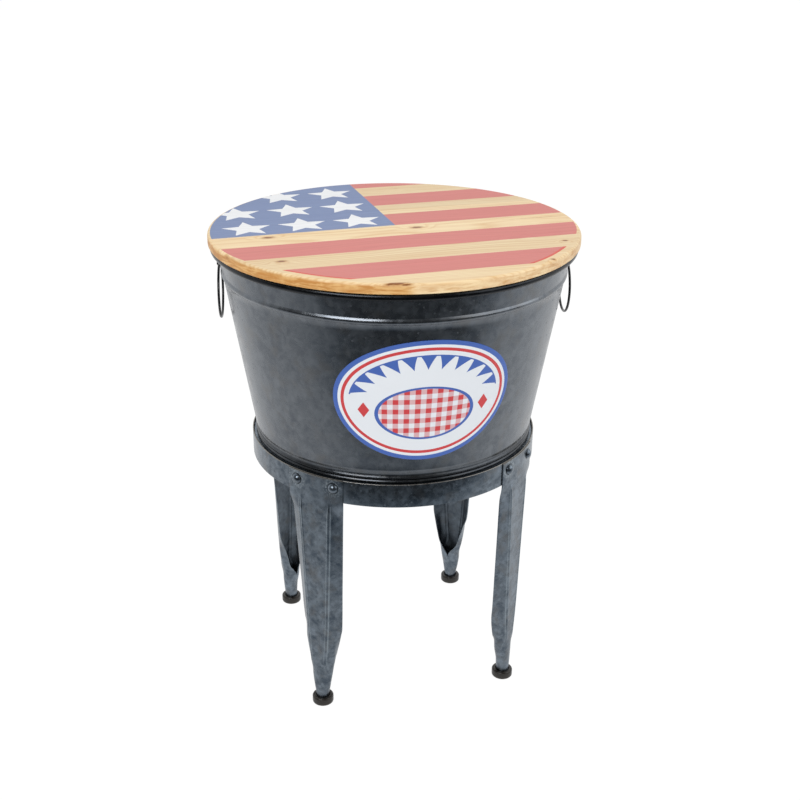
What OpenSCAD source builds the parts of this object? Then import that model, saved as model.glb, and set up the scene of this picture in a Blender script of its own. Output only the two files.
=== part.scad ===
// Patio cooler: a round tapered metal tub under a wooden lid, standing loose
// in a hoop on four pressed sheet legs, with two wire ring handles.
// Millimetres. Origin on the floor at the tub's axis, +Z up, front towards -Y.

/* [Stand] */
// Play between the tub's bottom seam and the hoop
tub_play = 3; // [1:0.5:6]
// Height of the hoop
hoop_h = 33; // [30:1:40]
// Height of the hoop's upper edge above the floor
hoop_top_z = 368.5; // [360:0.5:378]
// Thickness of the hoop's flat bar
hoop_t = 2; // [1.5:0.1:3]
// Width of the ledge ring that carries the tub
ledge_w = 18; // [14:1:24]
// Thickness of the ledge ring
ledge_t = 3; // [2:0.5:4]
// Depth of the ledge below the hoop's upper edge
ledge_drop = 3.5; // [2:0.5:6]

/* [Legs] */
// Sheet thickness of a leg
leg_t = 1.5; // [1.2:0.1:2]
// Half width of a leg's plate on the hoop
plate_half_w = 42.5; // [40:0.5:46]
// Half width of a leg's flat face just under the hoop
face_half_w = 25; // [22:0.5:28]
// Depth of a leg's side flanges just under the hoop
flange_depth = 9; // [7:0.5:11]
// Half width across a leg's free edges at the kink
kink_half_w = 30.5; // [28:0.5:33]
// Half width of a leg's flat face at the kink
kink_face_half_w = 16; // [14.5:0.5:18]
// Depth of a leg's side flanges at the kink
kink_depth = 15.5; // [13.5:0.5:17]
// Height of the kink, where the free edges start to close
kink_z = 130; // [115:1:150]
// Height of the point where the free edges meet
apex_z = 55; // [48:1:65]
// Half width of the closed oval tube where the free edges meet
apex_half_w = 16; // [14.5:0.5:17]
// Depth of the closed oval tube where the free edges meet
apex_depth = 22.5; // [21:0.5:24]
// Half width of the closed tube at a leg's lower end
tube_half_w = 9.5; // [8:0.25:10]
// How far a leg's face leans in between the hoop and the foot
leg_lean = 2.5; // [0:0.5:6]
// Distance from a leg's middle to each of its bolts
bolt_offset = 28.5; // [24:0.5:32]

/* [Feet] */
// Diameter of a foot cap
foot_d = 30; // [28:0.5:34]
// Height of a foot cap
foot_h = 12; // [10:0.5:14]
// Height of the cup's floor inside a foot cap
foot_floor = 5; // [4:0.5:6]
// Radius of a foot cap's rounded edges
foot_edge = 2.5; // [1:0.25:3]
// Play between a leg's tube and the cup of its foot cap
foot_play = 0.5; // [0.3:0.1:1]

/* [Fasteners] */
// Shank diameter of a leg bolt
bolt_d = 6; // [5:0.5:7]
// Diameter of a bolt's domed head
bolt_head_d = 14.5; // [12:0.5:15]
// Height of a bolt's domed head
bolt_head_h = 5; // [4:0.2:6]
// Width across the flats of a leg nut
nut_w = 10; // [9:0.5:11]
// Height of a leg nut
nut_h = 5; // [4:0.5:6]
// Gap between a leg nut's upper corner and the ledge above it
nut_gap = 0.7; // [0.5:0.1:3]
// Shank diameter of a batten screw
screw_d = 4; // [3.5:0.1:4.5]
// Length of a batten screw
screw_l = 27; // [24:0.5:28]
// Diameter of a rivet's domed head
rivet_head_d = 7; // [6:0.5:8]
// Height of a rivet's domed head
rivet_head_h = 2.2; // [1.6:0.1:2.6]

/* [Tub] */
// Outer radius of the tub's wall at its lower edge
tub_base_r = 192.5; // [189:0.5:194]
// Outer radius of the wall where it enters the rolled rim
tub_top_r = 238.5; // [232:0.5:240]
// Height of the tub from its lower edge to the top of the rim
tub_h = 277.2; // [262:0.1:285]
// Sheet thickness of the tub
sheet_t = 1; // [0.8:0.1:1.2]
// Radius of the wire inside the rolled rim
rim_wire_r = 3.9; // [3:0.1:4]
// Distance from the top of the rim down to the middle of the swaged bead
bead_drop = 40.2; // [37.5:0.1:46]
// Half height of the swaged bead
bead_half_h = 4.5; // [3:0.25:5]
// How far the swaged bead stands proud
bead_proud = 2.2; // [1.5:0.1:3]
// Height at which the wall necks in above the bottom seam
neck_z = 23; // [20:0.5:26]
// Height of the straight seam band at the tub's lower edge
seam_h = 14; // [12:0.5:16]
// How far the wall steps in at the neck
neck_in = 2; // [1:0.25:3]
// How far each roll of the bottom seam stands proud
seam_proud = 1.6; // [1:0.1:2]
// Height of the tub's floor above its lower edge
floor_z = 6; // [4:0.5:8]

/* [Label] */
// Half width of the oval label, measured round the tub
label_half_w = 118; // [110:1:124]
// Half height of the oval label
label_half_h = 86.75; // [82:0.25:90]
// How far the label's middle sits below the middle of the plain wall
label_drop = 2.75; // [0:0.25:6]
// How far the label is turned from the front
label_turn = -3; // [-10:0.5:10]
// Thickness of the label
label_t = 0.5; // [0.4:0.1:0.8]

/* [Handles] */
// Outer diameter of a handle ring
ring_d = 79; // [76:1:82]
// Wire radius of a handle ring
ring_wire_r = 1.7; // [1.4:0.1:1.8]
// Distance from the top of the rim down to the handles' hinge line
hinge_drop = 33.2; // [31.5:0.1:33.5]
// How far the loose tub's handles are turned from the sides
handle_turn = -10.5; // [-15:0.5:5]
// Width of a handle ear's plate
ear_w = 34; // [32:1:38]
// Thickness of a handle ear
ear_t = 1.2; // [1.1:0.1:1.5]
// Length of an ear's loop along the hinge line
loop_l = 10; // [8:0.5:12]
// Distance between an ear's two rivets
rivet_gap = 22; // [20:0.5:24]

/* [Lid] */
// How far the wooden lid reaches past the rolled rim
lid_over = 2.5; // [1:0.5:9]
// Thickness of the lid's boards
lid_t = 13.5; // [13:0.5:20]
// Radius of the lid's rounded upper edge
lid_round = 4; // [2:0.5:5]
// Radius of the lid's eased lower edge
lid_ease = 1.5; // [1:0.25:2.5]
// How far the loose lid is turned on the tub
lid_turn = 1.75; // [-5:0.25:5]
// Width of a batten under the lid
batten_w = 45; // [40:1:50]
// Thickness of a batten
batten_t = 18; // [16:0.5:20]
// Gap between a batten's corners and the tub's wall
batten_gap = 5.3; // [3:0.1:12]
// Distance from the lid's edge to each batten's middle
batten_edge = 140; // [138:1:150]

/* [Hidden] */
BOARDS = 6;

// Running gap between loose pieces, close gap between fixed ones
loose = 0.3;
snug = 0.1;
// How far a cut runs past what it cuts
over = 1;
round_fn = 96;
cap_fn = 48;
small_fn = 32;

// Angles of the legs round the stand, seen from above, counted from +X
FRONT_LEFT = 225;
FRONT_RIGHT = 315;
BACK_RIGHT = 45;
BACK_LEFT = 135;
LEG_ANGLES = [FRONT_LEFT, FRONT_RIGHT, BACK_RIGHT, BACK_LEFT];
RIGHT = 0;
LEFT = 180;

// Tub
tub_z = hoop_top_z - ledge_drop + loose;
rim_outer_r = rim_wire_r + snug + sheet_t;
rim_mid_z = tub_z + tub_h - rim_outer_r;
rim_mid_r = tub_top_r + rim_wire_r + snug;
rim_curl_end = -130;
wall_slope = (tub_top_r - tub_base_r) / (tub_h - rim_outer_r);
wall_lean = atan(wall_slope);
bead_z = tub_h - bead_drop;
seam_r = wall_r(neck_z) - neck_in;
// Straight lands round the two rolls of the bottom seam, and the lower roll's share
seam_land = 1;
roll_share = 0.7;
label_z = (neck_z + bead_z - bead_half_h) / 2 - label_drop;

// Stand
hoop_low_z = hoop_top_z - hoop_h;
hoop_inner_r = seam_r + seam_proud + tub_play;
hoop_r = hoop_inner_r + hoop_t;
nut_r = nut_w / 2 / cos(30);
bolt_z = hoop_top_z - ledge_drop - ledge_t - nut_gap - nut_r;
bolt_end = 1;
plate_r = hoop_r + snug;
plate_outer_r = plate_r + leg_t;
bolt_angle = asin(bolt_offset / plate_outer_r);
plate_angle = asin(plate_half_w / plate_outer_r);
bolt_hole_r = bolt_d / 2 + snug;

// Feet
face_step = 0.5;
face_top_v = plate_outer_r + face_step;
face_low_v = face_top_v - leg_lean;
foot_r = face_low_v - tube_half_w;
foot_cup_r = tube_half_w + foot_play;
leg_low_z = foot_floor + snug;

// Handles
ear_land = 1;
ear_low_z = bead_z + bead_half_h + ear_land;
ear_high_z = tub_h - 2 * rim_outer_r - ear_land;
rivet_z = (ear_low_z + ear_high_z) / 2 + ear_land;
rivet_angle = asin(rivet_gap / 2 / wall_r(rivet_z));
rivet_tail = 1;
hinge_z = tub_h - hinge_drop;
hinge_play = 0.5;
// Metal left of an ear's plate in the groove that the ring lies in
ear_floor = 0.5;
loop_bore_r = ring_wire_r + hinge_play;
hinge_r = wall_r(hinge_z) + snug + ear_floor + loop_bore_r;
ring_mid_r = ring_d / 2 - ring_wire_r;

// Lid
lid_z = tub_z + tub_h + loose;
lid_r = rim_mid_r + rim_outer_r + lid_over;
board_w = 2 * lid_r / BOARDS;
batten_x = lid_r - batten_edge;
batten_corner_x = batten_x + batten_w / 2;
batten_corner_r = wall_r(tub_h - batten_t) - sheet_t - batten_gap;
batten_l = 2 * sqrt(pow(batten_corner_r, 2) - pow(batten_corner_x, 2));
screw_head_r = screw_d;
screw_head_h = screw_d / 2;

// Outer radius of the tub's plain tapered wall at a height above its lower edge
function wall_r(z) = tub_base_r + wall_slope * z;

// Points on an arc round a centre, in even steps
function arc_points(centre, r, from, to, steps) = [
    for (i = [0:steps]) let (a = from + (to - from) * i / steps)
        centre + r * [cos(a), sin(a)]
];

// A swaged or rolled ridge on the line of a wall, seen in section: half a sine wave
function ridge_points(z0, z1, proud, r0, r1, steps) = [
    for (i = [0:steps]) let (k = i / steps)
        [r0 + (r1 - r0) * k + proud * sin(180 * k), z0 + (z1 - z0) * k]
];

// Wall line of the tub from the neck to the rim, moved in by a sheet thickness
function wall_line(inset) = concat(
    [for (i = [0:6]) let (k = i / 6, z = seam_h + (neck_z - seam_h) * k)
        [seam_r + (wall_r(neck_z) - seam_r) * (1 - cos(180 * k)) / 2 - inset, z]],
    [for (p = ridge_points(bead_z - bead_half_h, bead_z + bead_half_h, bead_proud,
        wall_r(bead_z - bead_half_h), wall_r(bead_z + bead_half_h), 12)) [p.x - inset, p.y]]
);

// Legs are lofted from rows: height, sheet thickness, then half of a section as outer
// points from the middle of the face over the ridge to the flange's free edge, each
// counted sideways from the leg's middle and outwards from the tub's axis.
ridge_round = 3;
ridge_out = 1;
ridge_back = 1.5;
function on_plate(u) = [u, sqrt(pow(plate_outer_r - leg_t / 6, 2) - u * u)];
function face_v_at(z) =
    face_low_v + (face_top_v - face_low_v) * (z - leg_low_z) / (hoop_low_z - leg_low_z);
function bent(z, face_w, mid, edge) =
    let (v = face_v_at(z))
    [z, leg_t, [0, v], [face_w / 2, v], [face_w - ridge_round, v],
        [face_w + ridge_out, v - ridge_back], [mid.x, v - mid.y], [edge.x, v - edge.y]];
function channel(z, face_w, edge_w, depth) =
    bent(z, face_w, ([face_w + ridge_out, ridge_back] + [edge_w, depth]) / 2, [edge_w, depth]);
function oval(z, half_w, depth) = concat(
    [z, leg_t],
    [for (a = [0, 25, 50, 90, 135, 177])
        [half_w * sin(a), face_v_at(z) - depth / 2 + depth / 2 * cos(a)]]
);
function mix_rows(a, b, k) = [for (i = [0:len(a) - 1]) a[i] + (b[i] - a[i]) * k];

// The bend under the plate, and how far the plate reaches below the hoop and over the loft
bend_drop = 26;
plate_reach = 4;
plate_lap = 3;
plate_inset = 0.5;
bend_z = hoop_low_z - bend_drop;
plate_low_z = hoop_low_z - plate_reach;
plate_row = [
    plate_low_z + plate_lap, leg_t * 2 / 3,
    on_plate(0), on_plate(face_half_w / 2), on_plate(face_half_w - ridge_round),
    on_plate(face_half_w + ridge_out), on_plate((face_half_w + plate_half_w) / 2),
    on_plate(plate_half_w - plate_inset)
];
bend_row = channel(bend_z, face_half_w - ridge_out, plate_half_w - ridge_round, flange_depth);
kink_row = channel(kink_z, kink_face_half_w, kink_half_w, kink_depth);

// Between the kink and the apex the flanges bow out and their edges close like a V. Each row:
// share of the height, of the kink's face width, then of its edge width and depth for the
// flange's middle and for its free edge.
throat_shares = [
    [0.27, 0.81, 0.63, 0.87, 0.51, 1.34],
    [0.5, 0.88, 0.65, 0.63, 0.69, 1.32],
    [0.73, 0.93, 0.74, 0.49, 0.83, 1.27]
];
throat_rows = [
    for (k = throat_shares)
        bent(apex_z + k[0] * (kink_z - apex_z), k[1] * kink_face_half_w,
            [k[2] * kink_half_w, k[3] * kink_depth], [k[4] * kink_half_w, k[5] * kink_depth])
];

// Below the apex the leg is a closed oval tube, which narrows to a round end in the foot cap
cup_z = foot_h + over;
neck_share = 0.4;
tube_rows = [
    oval(leg_low_z, tube_half_w, 2 * tube_half_w),
    oval(cup_z, tube_half_w, 2 * tube_half_w),
    oval(cup_z + (apex_z - cup_z) * neck_share, tube_half_w + (apex_half_w - tube_half_w) * 0.45,
        2 * tube_half_w),
    oval(apex_z, apex_half_w, apex_depth)
];
leg_rows = concat(tube_rows, throat_rows, [
    kink_row,
    mix_rows(kink_row, bend_row, 0.33), mix_rows(kink_row, bend_row, 0.67), bend_row,
    mix_rows(bend_row, plate_row, 0.5), plate_row
]);

// Outer line of a section from the left free edge to the right one, then its inner line
function outer_line(row) = concat(
    [for (i = [7:-1:3]) [-row[i].x, row[i].y]],
    [for (i = [2:7]) row[i]]
);
function unit2(v) = v / norm(v);
function turn_right(v) = [v.y, -v.x];
function step_at(line, i) =
    let (k = min(max(i, 1), len(line) - 1)) turn_right(unit2(line[k] - line[k - 1]));
function inner_line(line, t) = [
    for (i = [0:len(line) - 1])
        let (n = unit2(step_at(line, i) + step_at(line, i + 1)))
        line[i] + n * t / (n * step_at(line, i))
];
function leg_section(row) =
    let (outer = outer_line(row), inner = inner_line(outer, row[1]))
    [for (p = concat(outer, [for (i = [len(inner) - 1:-1:0]) inner[i]])) [p.x, p.y, row[0]]];

// A solid skinned through sections with the same number of points
module loft(sections) {
    n = len(sections[0]);
    last = len(sections) - 1;
    half = n / 2;
    points = [for (s = sections) each s];
    sides = [
        for (j = [0:last - 1], i = [0:n - 1])
            let (a = j * n + i, b = j * n + (i + 1) % n)
            each [[a, b, a + n], [b, b + n, a + n]]
    ];
    ends = [
        for (i = [0:half - 2])
            each [
                [i, n - 2 - i, i + 1], [i, n - 1 - i, n - 2 - i],
                [last * n + i, last * n + i + 1, last * n + n - 2 - i],
                [last * n + i, last * n + n - 2 - i, last * n + n - 1 - i]
            ]
    ];
    polyhedron(points, concat(sides, ends));
}

// A domed head on the outside of a wall: a slice of a ball
module dome(d, h) {
    ball_r = (d * d / 4 + h * h) / (2 * h);
    intersection() {
        translate([0, 0, h - ball_r]) sphere(ball_r, $fn = small_fn);
        cylinder(h = h + over, d = d + over, $fn = small_fn);
    }
}

// Places its children on the bolt axes of the leg at an angle, with +Z outwards
module at_leg_bolts(angle) {
    for (side = [-1, 1])
        rotate([0, 0, angle + side * bolt_angle])
            translate([0, 0, bolt_z])
                rotate([0, 90, 0])
                    children();
}

module bolt_bores(angle) {
    at_leg_bolts(angle)
        translate([0, 0, hoop_inner_r - over])
            cylinder(h = plate_outer_r - hoop_inner_r + 2 * over, r = bolt_hole_r, $fn = small_fn);
}

module stand_hoop() {
    color("#4a5560")
        difference() {
            rotate_extrude($fn = round_fn)
                polygon(concat(
                    [[hoop_inner_r, hoop_low_z], [hoop_r, hoop_low_z]],
                    arc_points([hoop_r - hoop_t / 2, hoop_top_z - hoop_t / 2], hoop_t / 2, 0, 180, 8)
                ));
            for (angle = LEG_ANGLES) bolt_bores(angle);
        }
}

module stand_ledge() {
    color("#4a5560")
        translate([0, 0, hoop_top_z - ledge_drop - ledge_t])
            rotate_extrude($fn = round_fn)
                translate([hoop_inner_r - snug - ledge_w, 0])
                    square([ledge_w, ledge_t]);
}

module leg(angle) {
    color("#566371") {
        difference() {
            rotate([0, 0, angle - plate_angle])
                rotate_extrude(angle = 2 * plate_angle, $fn = round_fn)
                    translate([plate_r, plate_low_z])
                        square([leg_t, hoop_top_z - plate_low_z]);
            bolt_bores(angle);
        }
        rotate([0, 0, angle - 90])
            loft([for (row = leg_rows) leg_section(row)]);
    }
}

module leg_bolts() {
    color("#3f4a56")
        for (angle = LEG_ANGLES)
            at_leg_bolts(angle) {
                translate([0, 0, plate_outer_r]) dome(bolt_head_d, bolt_head_h);
                translate([0, 0, hoop_inner_r - nut_h - bolt_end])
                    cylinder(h = plate_outer_r - hoop_inner_r + nut_h + bolt_end, d = bolt_d,
                        $fn = small_fn);
            }
}

module leg_nuts() {
    color("#7d858c")
        for (angle = LEG_ANGLES)
            at_leg_bolts(angle)
                translate([0, 0, hoop_inner_r - nut_h - snug])
                    difference() {
                        cylinder(h = nut_h, r = nut_r, $fn = 6);
                        translate([0, 0, -over])
                            cylinder(h = nut_h + 2 * over, r = bolt_hole_r, $fn = small_fn);
                    }
}

module foot(angle) {
    edge_r = foot_d / 2 - foot_edge;
    color("#2c2824")
        rotate([0, 0, angle])
            translate([foot_r, 0, 0])
                rotate_extrude($fn = cap_fn)
                    polygon(concat(
                        [[0, 0]],
                        arc_points([edge_r, foot_edge], foot_edge, -90, 0, 5),
                        arc_points([edge_r, foot_h - foot_edge], foot_edge, 0, 90, 5),
                        [[foot_cup_r, foot_h], [foot_cup_r, foot_floor], [0, foot_floor]]
                    ));
}

module tub_wall() {
    outer = wall_line(0);
    inner = wall_line(sheet_t);
    curl = [rim_mid_r, rim_mid_z - tub_z];
    seam_low = seam_h / 2;
    color("#3b4753")
        difference() {
            translate([0, 0, tub_z])
                rotate_extrude($fn = round_fn)
                    polygon(concat(
                        [[seam_r - sheet_t, 0]],
                        inner,
                        arc_points(curl, rim_outer_r, 180, rim_curl_end, 28),
                        arc_points(curl, rim_outer_r - sheet_t, rim_curl_end, 180, 28),
                        [for (i = [len(outer) - 1:-1:0]) outer[i]],
                        ridge_points(seam_h - seam_land, seam_low, seam_proud, seam_r, seam_r, 8),
                        ridge_points(seam_low - seam_land / 2, seam_land, seam_proud * roll_share,
                            seam_r, seam_r, 8),
                        [[seam_r, 0]]
                    ));
            rivet_bores(LEFT);
            rivet_bores(RIGHT);
        }
}

module tub_bottom() {
    disc_r = seam_r - sheet_t - snug;
    flange_z = seam_land / 2;
    color("#59626b")
        translate([0, 0, tub_z])
            rotate_extrude($fn = round_fn)
                polygon([
                    [0, floor_z], [disc_r - sheet_t, floor_z], [disc_r - sheet_t, flange_z],
                    [disc_r, flange_z], [disc_r, floor_z + sheet_t], [0, floor_z + sheet_t]
                ]);
}

module rim_wire() {
    color("#8a8f94")
        translate([0, 0, rim_mid_z])
            rotate_extrude($fn = round_fn)
                translate([rim_mid_r, 0])
                    circle(rim_wire_r, $fn = small_fn);
}

// The label's outline is an oval round the wall, drawn on a flat plane in front of it
module label_plate() {
    low = label_z - label_half_h - over;
    high = label_z + label_half_h + over;
    mid_r = wall_r(label_z);
    step = 360 / 60;
    color("#dde2e6")
        rotate([0, 0, label_turn])
            translate([0, 0, tub_z])
                intersection() {
                    rotate_extrude($fn = round_fn)
                        polygon([
                            [wall_r(low) + snug, low], [wall_r(low) + snug + label_t, low],
                            [wall_r(high) + snug + label_t, high], [wall_r(high) + snug, high]
                        ]);
                    rotate([90, 0, 0])
                        linear_extrude(rim_mid_r)
                            polygon([
                                for (a = [0:step:360 - step])
                                    let (z = label_z + label_half_h * sin(a))
                                    [wall_r(z) * sin(label_half_w * cos(a) / mid_r * 180 / PI), z]
                            ]);
                }
}

// Places its children with +X outwards at the middle of one handle
module at_handle(side) {
    rotate([0, 0, side + handle_turn]) children();
}

// Places its children on one handle's rivet axes, square to the wall, with +Z outwards
module at_rivets(side) {
    for (y = [-1, 1])
        rotate([0, 0, side + handle_turn + y * rivet_angle])
            translate([wall_r(rivet_z), 0, tub_z + rivet_z])
                rotate([0, 90 + wall_lean, 0])
                    children();
}

module rivet_bores(side) {
    at_rivets(side)
        translate([0, 0, -sheet_t - over])
            cylinder(h = sheet_t + snug + ear_t + 2 * over, r = rivet_head_d / 4 + snug,
                $fn = small_fn);
}

// The space just outside the tub's wall between two heights, as deep as a thickness
module outside_wall(low_z, high_z, thickness) {
    low = wall_r(low_z) + snug;
    high = wall_r(high_z) + snug;
    translate([0, 0, tub_z])
        rotate_extrude($fn = round_fn)
            polygon([
                [low, low_z], [low + thickness, low_z], [high + thickness, high_z], [high, high_z]
            ]);
}

module handle_ear(side) {
    loop_r = loop_bore_r + ear_t;
    color("#1d2126")
        difference() {
            union() {
                intersection() {
                    outside_wall(ear_low_z, ear_high_z, ear_t);
                    at_handle(side)
                        translate([0, -ear_w / 2, tub_z])
                            cube([lid_r, ear_w, tub_h]);
                }
                intersection() {
                    outside_wall(hinge_z - loop_r - over, hinge_z + loop_r + over, 2 * loop_r);
                    at_handle(side)
                        translate([hinge_r, loop_l / 2, tub_z + hinge_z])
                            rotate([90, 0, 0])
                                cylinder(h = loop_l, r = loop_r, $fn = small_fn);
                }
            }
            at_handle(side)
                translate([hinge_r, ear_w / 2, tub_z + hinge_z])
                    rotate([90, 0, 0])
                        cylinder(h = ear_w, r = loop_bore_r, $fn = small_fn);
            rivet_bores(side);
        }
}

module ear_rivets() {
    face = snug + ear_t;
    tail = sheet_t + rivet_tail;
    color("#1d2126")
        for (side = [LEFT, RIGHT])
            at_rivets(side) {
                translate([0, 0, face]) dome(rivet_head_d, rivet_head_h);
                translate([0, 0, -tail])
                    cylinder(h = tail + face + rivet_head_h / 4, d = rivet_head_d / 2,
                        $fn = small_fn);
            }
}

// The ring hangs from its hinge line, at the top of its wire
module handle_ring(side) {
    color("#14171b")
        at_handle(side)
            translate([hinge_r, 0, tub_z + hinge_z - ring_mid_r])
                rotate([0, 90, 0])
                    rotate_extrude($fn = round_fn)
                        translate([ring_mid_r, 0])
                            circle(ring_wire_r, $fn = small_fn);
}

module lid_disc() {
    rotate_extrude($fn = round_fn)
        polygon(concat(
            [[0, 0]],
            arc_points([lid_r - lid_ease, lid_ease], lid_ease, -90, 0, 4),
            arc_points([lid_r - lid_round, lid_t - lid_round], lid_round, 0, 90, 8),
            [[0, lid_t]]
        ));
}

// Overlap of a board with the battens, whose middle takes the screw
function board_y(i) = (i - (BOARDS - 1) / 2) * board_w;
function screw_y(i) =
    (max(board_y(i) - board_w / 2, -batten_l / 2) + min(board_y(i) + board_w / 2, batten_l / 2)) / 2;

module at_screws(x) {
    for (i = [0:BOARDS - 1])
        translate([x, screw_y(i), -batten_t])
            children();
}

module screw_bores(x) {
    at_screws(x) {
        translate([0, 0, -over])
            cylinder(h = screw_l + over + snug, r = screw_d / 2 + snug, $fn = small_fn);
        translate([0, 0, -snug])
            cylinder(h = screw_head_h + snug, r1 = screw_head_r + snug, r2 = screw_d / 2 + snug,
                $fn = small_fn);
    }
}

// Boards are counted from the front
module lid_board(i) {
    color("#e6c48c")
        rotate([0, 0, lid_turn])
            translate([0, 0, lid_z])
                difference() {
                    intersection() {
                        lid_disc();
                        translate([-lid_r - over, board_y(i - 1) - board_w / 2, -over])
                            cube([2 * (lid_r + over), board_w, lid_t + 2 * over]);
                    }
                    for (x = [-1, 1]) screw_bores(x * batten_x);
                }
}

module lid_batten(x) {
    color("#d9b57e")
        rotate([0, 0, lid_turn])
            translate([0, 0, lid_z])
                difference() {
                    translate([x - batten_w / 2, -batten_l / 2, -batten_t])
                        cube([batten_w, batten_l, batten_t]);
                    screw_bores(x);
                }
}

module batten_screws() {
    color("#a9adb0")
        rotate([0, 0, lid_turn])
            translate([0, 0, lid_z])
                for (x = [-1, 1])
                    at_screws(x * batten_x) {
                        cylinder(h = screw_l, d = screw_d, $fn = small_fn);
                        cylinder(h = screw_head_h, r1 = screw_head_r, r2 = screw_d / 2, $fn = small_fn);
                    }
}

lid_board(1);  // lid_board_1
lid_board(2);  // lid_board_2
lid_board(3);  // lid_board_3
lid_board(4);  // lid_board_4
lid_board(5);  // lid_board_5
lid_board(6);  // lid_board_6
lid_batten(-batten_x);  // lid_batten_left
lid_batten(batten_x);  // lid_batten_right
batten_screws();
tub_wall();
tub_bottom();
rim_wire();
label_plate();
handle_ear(LEFT);  // handle_ear_left
handle_ear(RIGHT);  // handle_ear_right
ear_rivets();
handle_ring(LEFT);  // handle_ring_left
handle_ring(RIGHT);  // handle_ring_right
stand_hoop();
stand_ledge();
leg(FRONT_LEFT);  // leg_front_left
leg(FRONT_RIGHT);  // leg_front_right
leg(BACK_RIGHT);  // leg_back_right
leg(BACK_LEFT);  // leg_back_left
leg_bolts();
leg_nuts();
foot(FRONT_LEFT);  // foot_front_left
foot(FRONT_RIGHT);  // foot_front_right
foot(BACK_RIGHT);  // foot_back_right
foot(BACK_LEFT);  // foot_back_left
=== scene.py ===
"""Patio cooler: a tapered metal tub under a printed wooden lid, standing in a hoop on legs.

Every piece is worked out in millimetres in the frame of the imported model, with the origin
on the floor at the tub's axis, +Z up and the front towards -Y.
"""

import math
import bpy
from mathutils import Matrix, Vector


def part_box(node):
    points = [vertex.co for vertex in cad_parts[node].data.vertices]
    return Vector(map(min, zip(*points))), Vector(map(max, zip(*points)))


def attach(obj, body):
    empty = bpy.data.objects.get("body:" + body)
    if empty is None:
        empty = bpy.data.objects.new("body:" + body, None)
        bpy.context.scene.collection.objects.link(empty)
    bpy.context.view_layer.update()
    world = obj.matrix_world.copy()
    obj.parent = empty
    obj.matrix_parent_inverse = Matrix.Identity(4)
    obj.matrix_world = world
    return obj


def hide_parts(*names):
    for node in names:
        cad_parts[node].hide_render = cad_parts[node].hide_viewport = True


bl_info = {
    "name": "Patio cooler",
    "version": (1, 0, 0),
    "blender": (4, 5, 0),
    "location": "3D View > Sidebar > Cooler",
    "description": "Builds a metal patio cooler with a wooden lid, piece by piece",
    "category": "Add Mesh",
}

from functools import partial, reduce

import bpy
import numpy as np
from mathutils import Matrix, Vector

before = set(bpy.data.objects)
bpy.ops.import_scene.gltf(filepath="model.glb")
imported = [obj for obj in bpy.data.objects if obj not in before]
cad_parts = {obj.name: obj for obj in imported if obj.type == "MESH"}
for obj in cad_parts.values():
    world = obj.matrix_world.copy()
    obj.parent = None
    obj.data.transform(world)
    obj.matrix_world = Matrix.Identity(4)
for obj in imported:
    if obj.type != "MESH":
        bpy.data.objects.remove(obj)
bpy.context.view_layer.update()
MM = 0.001


def linear(code):
    """Linear colour of an sRGB hex value."""
    s = np.array([int(code[i:i + 2], 16) for i in (1, 3, 5)]) / 255
    return tuple(np.where(s <= 0.04045, s / 12.92, ((s + 0.055) / 1.055) ** 2.4).tolist())


def box_mm(node):
    """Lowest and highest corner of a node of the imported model, in millimetres."""
    low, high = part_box(node)
    return np.array(low) / MM, np.array(high) / MM


def length(name, text, value, low=0.0, high=1.0):
    """A length that the user can change, kept in metres and given in millimetres."""
    return bpy.props.FloatProperty(name=name, description=text, default=value * MM,
                                   min=low * MM, max=high * MM, unit="LENGTH", precision=5)


def tint(name, text, code):
    """A colour that the user can change."""
    return bpy.props.FloatVectorProperty(name=name, description=text, size=3, subtype="COLOR",
                                         min=0, max=1, default=linear(code))


LID_LOW, LID_HIGH = box_mm("lid_board_3")
TUB_LOW, TUB_HIGH = box_mm("tub_wall")
HOOP_LOW, HOOP_HIGH = box_mm("stand_hoop")
LEDGE_LOW, LEDGE_HIGH = box_mm("stand_ledge")
FOOT_LOW, FOOT_HIGH = box_mm("foot_front_right")

LID_R = box_mm("lid_board_4")[1][0]
LID_Z, LID_TOP = LID_LOW[2], LID_HIGH[2]
LID_TURN = math.radians(1.75)
BOARDS = 6
BATTEN_X, BATTEN_W, BATTEN_T = 110.0, 45.0, 18.0
BATTEN_L = 376.0

TUB_Z, TUB_TOP = TUB_LOW[2], TUB_HIGH[2]
SHEET = 1.0
ROLL_R = 5.0
ROLL_MID_R, ROLL_MID_Z = TUB_HIGH[0] - ROLL_R, TUB_TOP - ROLL_R
TUB_BASE_R = 192.5
WALL_SLOPE = (ROLL_MID_R - ROLL_R + SHEET - TUB_BASE_R) / (ROLL_MID_Z - TUB_Z)
BEAD_Z, BEAD_HALF, NECK_Z, SEAM_H = 237.0, 4.5, 23.0, 14.0
SEAM_R = TUB_BASE_R + WALL_SLOPE * NECK_Z - 2.0
LABEL_Z, LABEL_HALF_W, LABEL_HALF_H = 125.0, 118.0, 86.75
LABEL_TURN = math.radians(-3)
LABEL_SPAN = 250.0

HINGE_Z = 244.0
HINGE_R = TUB_BASE_R + WALL_SLOPE * HINGE_Z + 2.8
HANDLE_TURN = math.radians(-10.5)
EAR_W, EAR_T, LOOP_BORE = 34.0, 0.9, 2.2
EAR_LOW, EAR_HIGH = BEAD_Z + 5.5, TUB_TOP - TUB_Z - 2 * ROLL_R - 1
RING_R, RING_WIRE = 37.8, 1.7

HOOP_R, HOOP_TOP, HOOP_BASE = HOOP_HIGH[0], HOOP_HIGH[2], HOOP_LOW[2]
HOOP_T = 2.0
LEG_T = 1.5
PLATE_R = HOOP_R + 0.1 + LEG_T
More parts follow.
